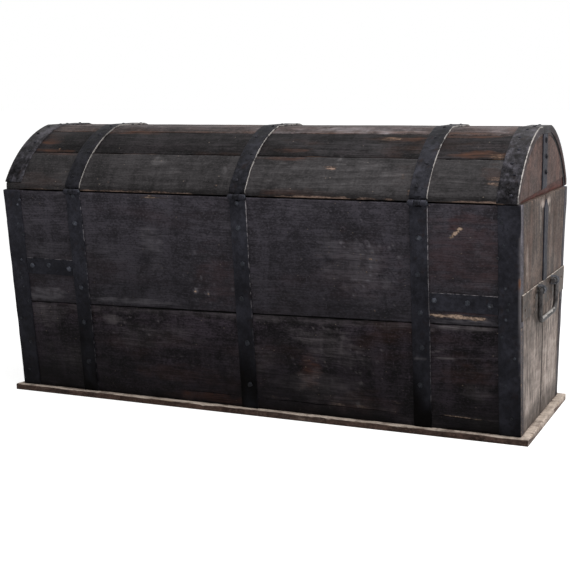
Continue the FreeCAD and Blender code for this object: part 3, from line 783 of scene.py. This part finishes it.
def strap(node, place, s, t, seed, material=STRAP_IRON, thick=IRON_THICK, **looks):
    dress(node, iron_slab(Shell(), place, s, t, thick, seed, **looks), material)


def knuckle_spans(t, middle):
    """The span of the middle knuckle and those of the two beside it."""
    x, edge = (t[0] + t[1]) / 2, middle / 2 + 0.5
    return (x - middle / 2, x + middle / 2), ((t[0], x - edge), (x + edge, t[1]))


def knuckle(shell, place, s, t, thick, seed, axis, phase):
    """Tongue of a strap and the rolled knuckle that it runs into."""
    iron_slab(shell, place, s, t, thick, seed, worn=0.7, wave=0.05, wobble=0.0)
    barrel(shell, *t, axis, phase)


def strap_set(label, seed):
    """Hinge leaf, pin, lid strap and front strap of one strap line."""
    t = extent("hinge_leaf_" + label, X)
    inner, outer = knuckle_spans(t, KNUCKLE_W)
    wall = swap(on_wall(FACE["back"]))
    top = HINGE[1] - LEAF_STEP
    leaf = iron_slab(Shell(), wall, (UPRIGHT[0], top), t, STRAP_THICK, seed, worn=1.3, grime=IRON_SHADE,
                     spots=STRAP_LOOKS.get(label, ()), shine=[("t0", *LEAF_SHINE[label])])
    for side in outer:
        knuckle(leaf, wall, (top - TONGUE_LAP, HINGE[1]), side, STRAP_THICK, seed + 1, HINGE, seed + side[0])
    dress("hinge_leaf_" + label, leaf, STRAP_IRON)
    dress("hinge_pin_" + label, pin(t[0] - PIN_OUT, t[1] + PIN_OUT, HINGE), BAR_IRON, "_peened")
    thick = IRON_GAP + STRAP_THICK
    end = OVER_LID - (HASP_STRAP_FOOT if label == "middle" else STRAP_FOOT)
    over = iron_slab(Shell(), on_arch, (LEAF_STEP, end), t, thick, seed + 2, worn=1.3, shine=[LID_SHINE],
                     grime=("s", LID_DARKENING[label], LID_DARKENING[label]))
    knuckle(over, on_arch, (0.0, LEAF_STEP + TONGUE_LAP), inner, thick, seed + 3, HINGE, seed + inner[0])
    if label == "middle":
        middle = knuckle_spans((-HASP_HALF, HASP_HALF), HASP_MIDDLE_KNUCKLE)[0]
        s = (end - TONGUE_LAP, OVER_LID - HASP_TONGUE_FOOT)
        knuckle(over, on_arch, s, middle, thick, seed + 4, HASP, seed + 9)
    dress("lid_strap_" + label, over, LID_IRON)
    wall = swap(on_wall(FACE["front"]))
    strap("front_strap_" + label, wall, UPRIGHT, t, seed + 5, thick=STRAP_THICK, worn=1.3, grime=IRON_SHADE)


def side_irons(end, seed):
    """Corner irons and short level straps on the long walls."""
    for name, face in FACE.items():
        wall = on_wall(face)
        node = "corner_iron_" + name + "_" + end
        spots = CORNER_LOOKS.get((name, end), ())
        strap(node, swap(wall), UPRIGHT, extent(node, X), seed, spots=spots, grime=CORNER_SHADE)
        node = "side_strap_" + name + "_" + end
        shine = [SIDE_SHINE[end]] if name == "back" else []
        strap(node, wall, extent(node, X), extent(node, Z), seed + 1, shine=shine, grime=SIDE_DARKENING)
        seed += 2


def end_irons(end, seed):
    """Level band and pointed upright strap on an end of the body."""
    plain = on_end(SIDE[end], HALF_LENGTH)
    low, high = extent("end_band_" + end, Z)
    reach = BASE_HALF + LEAN * (low - BODY_Z) - 4.0

    def level(y, z, n):
        return plain(z, y * (1 + LEAN * (z - low) / reach), n)
    strap("end_band_" + end, level, (-reach, reach), (low, high), seed, END_IRON, shine=[END_SHINE])
    tip, width = extent("end_strap_" + end, Z)[1], extent("end_strap_" + end, Y)

    def pointed(z, y, n):
        return plain(z, y * np.clip((tip - z) / width[1], 0.03, 1), n)
    strap("end_strap_" + end, pointed, (high, tip), width, seed + 1)


def lid_end_irons(end, seed):
    """Angle iron along the arched edge and the upright strap on the lid's end."""
    side = SIDE[end]
    foot = extent("lid_end_band_" + end, Z)[0] - RIM_Z
    wide, lip, thick, out = LID_BAND_WIDTH, LID_BAND_FLANGE, IRON_THICK, IRON_GAP + IRON_THICK
    profile = [(-wide, -0.5), (-wide, out - 1.2), (-wide + 0.4, out - 0.4), (-wide + 1.2, out)]
    profile += [(u, out) for u in (-41, -33, -24, -15, -7, -2)]
    profile += [(thick - 1.6, out), (thick - 0.5, out - 0.4), (thick, out - 1.6)]
    profile += [(thick, -5.0), (thick, -lip + 1.0), (thick - 0.4, -lip + 0.3), (thick - 1.2, -lip)]
    profile += [(-0.6, -lip), (-0.6, -0.5)]
    u, n = np.array(profile).T
    a = np.linspace(foot, OVER_LID - foot, 170)[:, None]
    x = u + 0.8 * noise(points(a / 55, 0.0, seed), seed) * (u < -20)
    rise = (n > 0.5) * 0.35 * rough_noise(points(a / 60, u / 25, seed), seed)
    p = on_arch(a + 0 * u, side * (LID_HALF + x), n + rise)
    # Painted highlight: a pale line along the outer edge of the band, on the back half of the arch
    lit = np.clip((0.47 * OVER_LID - a) / 20, 0, 1)
    edge = np.where((u > 0.5) & (n > 0), 0.3 + 0.7 * lit, 0.1)
    high = np.clip(1 - np.abs(a - OVER_LID / 2) / 250, 0, 1)
    marks = np.zeros(p.shape[:2] + (4,))
    marks[..., RED] = np.where((u > 2) & (n < -2), 0.45 * (1 - high), 0.0)
    marks[..., DUST] = np.where(n > 0, 0.06 * high, 0.0)
    shell = Shell().skin(p, edge, points(a, u, n) * MM + seed, marks)
    dress("lid_end_band_" + end, shell, LID_BAND_IRON)
    plain = on_end(side, LID_HALF)
    tall = 150.0

    def upright(t, y, n):
        low, high = rail_top(y), arch_z(y, lip + IRON_GAP)
        return plain(low + t / tall * (high - low), y, n)
    node = "lid_end_strap_" + end
    strap(node, upright, (0.0, tall), extent(node, Y), seed + 1)


def handle(end, seed):
    """Drop handle of round bar, with a pale painted highlight along the top of the grip, and its two bent
    eyes.
    """
    x, _, z = AXIS_AT["handle_" + end + "_swing"]
    half, drop = HANDLE_HALF, HANDLE_DROP
    route = [(-STUB_END, 0), (-half, 0), (-half, -drop), (half, -drop), (half, 0), (STUB_END, 0)]
    bends = bent(route, (HANDLE_NECK, HANDLE_BEND, HANDLE_BEND, HANDLE_NECK))
    bar = tube([(x, y, z + rise) for y, rise in bends], round_section(HANDLE_BAR), seed, 0.03)
    # Painted highlight: the top of the grip is made pale, fading out before the bends
    fade = 14
    above = bar.places[0][:, Z] - (z - drop)
    inside = half - HANDLE_BEND + fade - np.abs(bar.places[0][:, Y])
    grip_highlight = np.clip((16 - above) / 10, 0, 1) * np.clip(above / HANDLE_BAR, 0, 1)
    grip_highlight = grip_highlight * np.clip(inside / fade, 0, 1)
    bar.edge[0] = np.clip(bar.edge[0] + 0.58 * grip_highlight, 0, 1)
    dress("handle_" + end, bar, HANDLE_IRON)
    root = HALF_LENGTH + IRON_THICK - IRON_SINK
    turns = np.linspace(-math.pi / 2, math.pi / 2, 19)
    loop = [(root, z - EYE_R)]
    loop += [(abs(x) + EYE_R * math.cos(a), z + EYE_R * math.sin(a)) for a in turns]
    loop = np.array(loop + [(root, z + EYE_R)])
    along = np.gradient(loop, axis=0)
    along /= np.linalg.norm(along, axis=1)[:, None]
    wide, deep = soft_rectangle(*EYE_SECTION).T
    px, pz = loop[:, None, 0] + deep * along[:, None, 1], loop[:, None, 1] - deep * along[:, None, 0]
    eyes = Shell()
    for y in (EYE_Y, -EYE_Y):
        eyes.skin(points(SIDE[end] * px, y + wide, pz), np.where(np.abs(wide) > 5, 0.85, 0.3))
    dress("handle_eyes_" + end, eyes, BAR_IRON)


def hasp_set(seed):
    """Hanging hasp with its slot, its pin and the staple on the front strap."""
    half, thick = HASP_HALF, HASP_THICK
    tip, shoulder, centre = HASP[1] - HASP_LENGTH, HASP[1] - LEAF_STEP, HASP[1] - SLOT_DROP
    sine, cosine = np.sin(circle(64)), np.cos(circle(64))
    slot_z = centre + SLOT_RISE * np.clip(2 * sine, -1, 1) + SLOT_R * sine
    outer_x = np.where(sine < 0, half * cosine, half * np.clip(1.45 * cosine, -1, 1))
    sides = (shoulder - tip - half) * np.clip(1.45 * sine, 0, 1)
    outer_z = tip + half + np.where(sine < 0, half * sine, sides)
    shell = Shell()
    loops = []
    for share, depth, _ in HASP_RINGS:
        x = outer_x * (1 - share) + SLOT_R * cosine * share
        loops.append(points(x, HASP[0] + depth * thick, outer_z * (1 - share) + slot_z * share))
    shell.skin(np.stack(loops, 1), np.array([bare for *_, bare in HASP_RINGS]), wrap=True)
    for x0, x1 in knuckle_spans((-half, half), HASP_MIDDLE_KNUCKLE)[1]:
        x, y = soft_rectangle((x1 - x0) / 2, thick / 2, 0.8).T
        rows = [points((x0 + x1) / 2 + x, HASP[0] + y, z) for z in (shoulder - 2, shoulder + 1, HASP[1] - 4)]
        shell.skin(np.stack(rows), 0.3)
        barrel(shell, x0, x1, HASP, seed + x0)
    dress("hasp", shell, BAR_IRON)
    dress("hasp_pin", pin(-half - PIN_OUT, half + PIN_OUT, HASP), BAR_IRON, "_peened")
    root = -(BASE_HALF + LEAN * (centre - BODY_Z) + STAPLE_ROOT)
    bend, r = HASP[0] + STAPLE_BEND, STAPLE_R
    route = [(root, centre - r)]
    route += [(bend - r * math.sin(a), centre - r * math.cos(a)) for a in np.linspace(0, math.pi, 15)]
    route += [(root, centre + r)]
    loop = tube([(0.0, y, z) for y, z in route], soft_rectangle(*STAPLE_SECTION), seed + 3)
    dress("hasp_staple", loop, BAR_IRON)


# Marks of use and a few painted shadows, placed along the boards and irons that carry them

WALL_LOOKS = {
    "upper": (stains(
        raw=[(-546, 490, 18, 9, 1.7, -0.75), (-563, 287, 106, 8.5, 1.1, 0.02), (233, 555, 55, 7, 0.75),
             (137, 316, 4.5, 7, 1.2, -0.5), (99, 313, 4.5, 6, 1.2, 0.4), (-353, 376, 7, 4, 0.6),
             (-217, 315, 5.5, 3.2, 0.8), (-347, 291, 3.2, 5, 0.9), (-655, 556, 26, 5, 0.6)],
        dust=[(-537, 484, 6, 6, 2.0), (-563, 275, 95, 8, 1.6), (309, 283, 150, 9, 1.5),
              (590, 287, 80, 20, 1.5), (-698, 300, 1.0, 600, 2.0), (135, 318, 6, 9, 2.4, -0.5),
              (100, 314, 6, 8, 2.4, 0.4), (-300, 400, 90, 70, 0.6), (257, 443, 45, 38, 0.55),
              (-238, 441, 48, 38, 0.5), (-376, 372, 18, 30, 0.7, 0.5)],
        red=[(-541, 512, 24, 28, 1.0), (-563, 296, 95, 6, 1.0), (-582, 527, 60, 20, 0.7),
             (-310, 400, 110, 110, 0.3), (75, 350, 75, 90, 0.4), (-623, 431, 42, 85, 0.7),
             (-560, 440, 120, 120, 0.55)],
        black=[(-538, 508, 6, 6, 0.7), (0, 268.1, 900, 2.4, 0.9), (-360, 381, 5, 5, 1.0)])
        + scatter(DUST, (-335, 415), (32, 42), 60, 7, strength=(0.6, 1.6))
        + scatter(RAW, (-345, 405), (24, 30), 16, 8, (2.2, 3.4), (0.4, 0.75))
        + scatter(DUST, (120, 330), (40, 35), 20, 9, strength=(0.5, 1.4)), ()),
    "lower": (stains(
        raw=[(-200, 50, 215, 2.6, 0.55), (110, 50, 90, 2.6, 0.5), (-560, 51, 78, 2.6, 0.6, 0.04),
             (-698, 140, 1.0, 600, 0.45), (-395, 70, 14, 3, 0.5, 0.3)],
        dust=[(-543, 189, 58, 2.6, 1.3, -0.037), (-505, 205, 20, 2.6, 1.3, -0.36),
              (-230, 190, 90, 50, 0.7, 0.2), (0, 259, 900, 14, 0.45), (-565, 262, 85, 7, 1.4),
              (592, 240, 70, 40, 0.8), (-260, 222, 12, 9, 1.6), (-256, 196, 9, 22, 1.1),
              (393, 228, 30, 20, 0.8), (-698, 140, 1.0, 600, 2.0), (-190, 90, 120, 45, 0.6),
              (-590, 110, 40, 22, 0.5), (330, 180, 90, 40, 0.35)],
        red=[(120, 32, 130, 14, 1.1), (-170, 126, 34, 56, 1.6), (-560, 150, 90, 40, 0.5),
             (-300, 60, 120, 35, 0.6), (200, 90, 160, 30, 0.4)],
        black=[(0, 266.9, 900, 3.4, 1.0)])
        + scatter(DUST, (-270, 160), (70, 50), 50, 10, strength=(0.6, 1.5))
        + scatter(DUST, (270, 160), (60, 40), 24, 12, strength=(0.5, 1.3)),
        ((30, 46, 204, 45, 0.9, 3.0), (-420, 44, -24, 46, 0.8, 2.5), (-634, 44, -488, 50, 0.9, 3.0))),
}
LID_LOOKS = {
    1: stains(
        raw=[(373, 27, 7, 5, 0.9), (61, 27, 6, 4, 0.9), (664, 34, 14, 5, 0.7, 0.2), (-590, 3, 100, 6, 1.2),
             (-655, 9, 16, 9, 1.4), (240, 3, 260, 5, 1.0), (-232, 3, 240, 5, 0.9), (-630, 57, 24, 20, 0.42),
             (-416, 62, 9, 9, 0.7), (-229, 88, 24, 13, 0.8, 0.1), (-80, 116, 50, 4, 0.6),
             (-442, 28, 10, 24, 0.5), (590, 3, 90, 5, 0.6)],
        dust=[(-230, 60, 210, 60, 0.35), (-246, 118, 9, 4, 1.2, -1.2), (-256, 97, 18, 3, 1.0, 0.1),
              (-102, 98, 16, 4, 0.7), (-365, 87, 4, 3, 1.0), (250, 100, 28, 18, 0.7),
              (54, 74, 8, 14, 0.8, 0.8)],
        red=[(-150, 14, 110, 12, 0.7), (-627, 80, 34, 24, 0.9), (-95, 114, 75, 8, 1.0),
             (573, 118, 80, 8, 0.8), (590, 28, 95, 34, 0.25)],
        black=[(-570, 60, 110, 70, 0.15)]),
    2: stains(
        raw=[(569, 136, 5, 4, 0.9), (-620, 134, 38, 12, 0.62), (-350, 198, 36, 12, 0.62)],
        dust=[(-250, 128, 14, 4, 1.0, -0.8), (-240, 165, 180, 40, 0.3)],
        red=[(613, 168, 40, 14, 1.0), (570, 129, 80, 7, 1.0), (-585, 138, 85, 14, 1.0),
             (-112, 146, 60, 10, 0.8), (-360, 200, 90, 14, 0.9), (-540, 216, 95, 8, 0.9),
             (395, 219, 90, 7, 0.9)]),
    3: stains(
        raw=[(396, 229, 60, 4, 0.5)],
        dust=[(-260, 252, 200, 30, 0.6)],
        red=[(240, 229, 240, 7, 0.9), (-300, 240, 170, 12, 0.8), (-560, 235, 100, 9, 0.8)],
        black=[(250, 240, 180, 30, 0.25)]),
}
END_DUST = stains(
    dust=[(125, 95, 190, 170, 1.15), (250, 95, 60, 150, 0.6)],
    black=[(120, 1.5, 230, 7, 0.85), (28, 90, 52, 240, 0.55), (190, 62, 95, 2.6, 0.7, 0.03),
           (110, 112, 70, 2.6, 0.6, -0.02)])
END_LOOKS = {
    ("left", "back"): (END_DUST + stains(
        raw=[(254, 130, 7, 24, 0.6, -0.3)],
        dust=[(545, 24, 12, 30, 1.5), (510, 40, 42, 7, 1.1), (215, 182, 190, 9, 1.3),
              (420, 150, 60, 12, 0.6)],
        red=[(470, 130, 90, 50, 0.5)],
        # The first black spot is a painted shadow under the band and the handle
        black=[(265, 60, 40, 22, 0.5), (180, 150, 90, 3, 0.8, 0.05)])
        + scatter(BLACK, (130, 95), (90, 55), 26, 13, (25, 60), (0.12, 0.4)),
        ((30, 120, 250, 128, 0.8, 3.0),)),
    ("left", "front"): (END_DUST + stains(
        dust=[(545, 22, 12, 28, 1.4), (524, 38, 28, 7, 1.0)],
        red=[(480, 80, 80, 40, 0.5)],
        # The last black spot is a painted shadow beside the handle
        black=[(290, 183, 330, 5, 0.8), (150, 170, 115, 4.5, 0.8), (265, 120, 30, 30, 0.4)]),
        ((40, 150, 300, 155, 1.0, 4.0),)),
    ("right", "back"): (END_DUST, ((40, 70, 230, 64, 0.8, 3.0),)),
    ("right", "front"): (END_DUST, ((60, 130, 280, 138, 0.8, 3.0),)),
}
BASE_DUST = stains(
    dust=[(0, 221, 1400, 16, 1.8), (0, -221, 1400, 16, 1.8), (-710, 0, 24, 500, 2.0),
          (710, 0, 24, 500, 2.0)])
CORNER_LOOKS = {
    ("back", "left"): stains(raw=[(386, -695, 16, 5, 0.9)], dust=[(330, -697, 220, 2.0, 0.6)]),
}
STRAP_LOOKS = {"left": stains(dust=[(190, -461, 3.0, 30, 0.45)])}
# Darkening along s or t: how much at the low and at the high end. On the walls, straps and corner irons, and
# on their nails, it is painted shade that grows towards the bottom
WALL_SHADE = {"upper": ("t", 0.56, 0.0), "lower": ("t", 0.85, 0.03)}
IRON_SHADE, CORNER_SHADE, SIDE_DARKENING = ("s", 1.0, -0.1), ("s", 0.7, 0.0), ("s", 0.3, 0.3)
LID_DARKENING = {"left": 0.0, "middle": 0.06, "right": 0.28}
STRAP_NAIL_SHADE, CORNER_NAIL_SHADE = 0.85, 0.7
# Pale lines of wear and painted highlight along an edge: how bright at its first and at its last end
LEAF_SHINE = {"left": (0.88, 1.0), "middle": (0.72, 1.02), "right": (0.86, 0.84)}
SIDE_SHINE = {"left": ("t1", 0.98, 0.92), "right": ("t1", 0.92, 0.9)}
LID_SHINE, END_SHINE = ("t0", 1.05, 0.9), ("t1", 0.96, 0.92)
# Rings of the hasp from its outline to its slot: share of the way, depth and brightness
HASP_RINGS = ((0.0, 0.5, 0.2), (0.0, -0.32, 1.0), (0.06, -0.5, 1.0), (0.5, -0.5, 0.3), (0.94, -0.5, 0.9),
              (1.0, -0.32, 0.9), (1.0, 0.32, 0.2), (0.94, 0.5, 0.2), (0.5, 0.5, 0.2), (0.06, 0.5, 0.2))


# Nails

STRAP_NAILS = {"left": (480, 393, 301, 216, 123), "middle": (547, 486, 395, 305, 190, 80),
               "right": (552, 479, 305, 209, 100)}
CORNER_NAILS = ((648, 536), (655, 523), (660, 470), (646, 442), (663, 372), (671, 335), (668, 322),
                (664, 298), (654, 257), (684, 207), (662, 140), (676, 60))
SIDE_STRAP_NAILS, SIDE_NAIL_INSET = (493, 575, 628), 12
LID_END_NAILS, END_BAND_NAILS = (618, 656, 694), (-208, -120, 0, 120, 208)


def nail_rows():
    rng = random.Random(11)

    def stray(reach):
        return rng.uniform(-reach, reach)

    def over_lid(count, inset, reach):
        """Places over the lid, evenly spread but for a little stray."""
        for k in range(count):
            yield inset + k * (OVER_LID - 2 * inset) / (count - 1) + stray(reach)

    def nails(name, material, body, *rows):
        """One piece of nails, at places that are drawn one by one."""
        shell = Shell()
        for row in rows:
            for spot in row:
                nail(shell, rng, *spot)
        piece(name, shell, material, body, "bar_iron", sharp=25)

    for label, x in STRAP_X.items():
        for name, face in FACE.items():
            nails("strap_nails_" + name + "_" + label, BAR_IRON, "chest", (
                (on_wall(face), x + stray(5), z, STRAP_THICK, STRAP_NAIL, STRAP_NAIL_SHADE * (1 - z / RIM_Z))
                for z in STRAP_NAILS[label]))
        nails("lid_strap_nails_" + label, LID_IRON, "lid", (
            (on_arch, a, x + stray(10), IRON_GAP + STRAP_THICK, LID_STRAP_NAIL)
            for a in over_lid(9, 40, 12)))
    for end, side in SIDE.items():
        for name, face in FACE.items():
            node, wall = "side_strap_" + name + "_" + end, on_wall(face)
            first = min(abs(x) for x in extent(node, X)) + SIDE_NAIL_INSET
            level = sum(extent(node, Z)) / 2
            nails("corner_nails_" + name + "_" + end, BAR_IRON, "chest", (
                (wall, side * x, z, IRON_THICK, CORNER_NAIL, CORNER_NAIL_SHADE * (1 - z / RIM_Z))
                for x, z in CORNER_NAILS), (
                (wall, side * max(x, first), level + stray(4), IRON_THICK) for x in SIDE_STRAP_NAILS))
        nails("lid_end_nails_" + end, LID_IRON, "lid", (
            (on_arch, a, side * (LID_HALF - rng.uniform(12, 32)), IRON_GAP + IRON_THICK, LID_BAND_NAIL)
            for a in over_lid(15, 26, 8)), (
            (on_end(side, LID_HALF), z, LID_MID + stray(9), IRON_THICK) for z in LID_END_NAILS))
        place, level = on_end(side, HALF_LENGTH), sum(extent("end_band_" + end, Z)) / 2
        nails("end_nails_" + end, END_IRON, "chest", (
            (place, level + stray(8), y + stray(6), IRON_THICK, END_NAIL) for y in END_BAND_NAILS))


wall_boards("back", WALL_LOOKS, 1)
wall_boards("front", {}, 5)
base_boards()
lid_staves()
for number, label in enumerate(STRAP_X):
    strap_set(label, 100 + 10 * number)
for number, end in enumerate(SIDE):
    end_boards(end, 41 + 4 * number)
    lid_end(end, 51 + 4 * number)
    side_irons(end, 140 + 10 * number)
    end_irons(end, 160 + 10 * number)
    lid_end_irons(end, 180 + 10 * number)
    handle(end, 200 + 10 * number)
hasp_set(220)
nail_rows()


# Floor, light and camera, in metres and degrees

WHITE, FLOOR_GREY = (1, 1, 1, 1), (0.45, 0.45, 0.45, 1)
FLOOR_HALF, FLOOR_DROP, FLOOR_GLOW = 30.0, 0.0005, 0.84
ROOM_LIGHT, ROOM_SEEN = 0.38, 1.0
LENS, SENSOR, CLIP = 75.18, 36.0, (0.05, 200.0)
CAMERA_AT = (-1.2863, 2.8762, 0.8358)
CAMERA_TURN, CAMERA_DOWN, CAMERA_ROLL = 203.99, 9.627, -0.596


def floor():
    """Pale floor that looks white to the camera and in reflections."""
    mesh = bpy.data.meshes.new("floor")
    far = FLOOR_HALF
    mesh.from_pydata([(-far, -far, 0), (far, -far, 0), (far, far, 0), (-far, far, 0)], [], [(0, 1, 2, 3)])
    obj = link("floor", mesh)
    obj.location.z = -FLOOR_DROP
    g = Graph(bpy.data.materials.new("pale_floor"))
    rays = g.node("LightPath", {}).outputs
    glow = g.times(g.maths("MAXIMUM", rays["Is Camera Ray"], rays["Is Glossy Ray"]), FLOOR_GLOW)
    mesh.materials.append(g.surface({"Base Color": FLOOR_GREY, "Roughness": 0.9, "Specular IOR Level": 0.1,
                                     "Emission Color": WHITE, "Emission Strength": glow}))


def world():
    """White room that lights the chest less than it shows."""
    g = Graph(bpy.data.worlds.new("white_room"), "Background")
    rays = g.node("LightPath", {}).outputs
    seen = rays["Is Camera Ray"]
    for ray in ("Is Glossy Ray", "Is Transmission Ray"):
        seen = g.maths("MAXIMUM", seen, rays[ray])
    light = g.span(seen, 0.0, 1.0, ROOM_LIGHT, ROOM_SEEN)
    bpy.context.scene.world = g.surface({"Color": WHITE, "Strength": light})


def lamp(name, place, aim, size, power):
    data = bpy.data.lights.new(name, "AREA")
    data.shape, data.size, data.size_y, data.energy = "RECTANGLE", size[0], size[1], power
    obj = link(name, data)
    obj.location = place
    obj.rotation_euler = (Vector(aim) - obj.location).to_track_quat("-Z", "Y").to_euler()


def camera():
    data = bpy.data.cameras.new("camera")
    data.lens, data.sensor_width = LENS, SENSOR
    data.clip_start, data.clip_end = CLIP
    obj = link("camera", data)
    turn = Matrix.Rotation(math.radians(CAMERA_TURN), 4, "Z")
    turn = turn @ Matrix.Rotation(math.radians(90 - CAMERA_DOWN), 4, "X")
    turn = turn @ Matrix.Rotation(math.radians(CAMERA_ROLL), 4, "Z")
    obj.matrix_world = Matrix.Translation(CAMERA_AT) @ turn
    bpy.context.scene.camera = obj


floor()
world()
lamp("top_light", (-0.9, 0.3, 2.9), (-0.1, 0, 0.4), (2.6, 1.6), 75)
lamp("end_light", (-3.2, 0.6, 1.6), (-0.4, 0, 0.35), (1.6, 1.6), 40)
camera()
bpy.context.scene.view_settings.view_transform = "Standard"
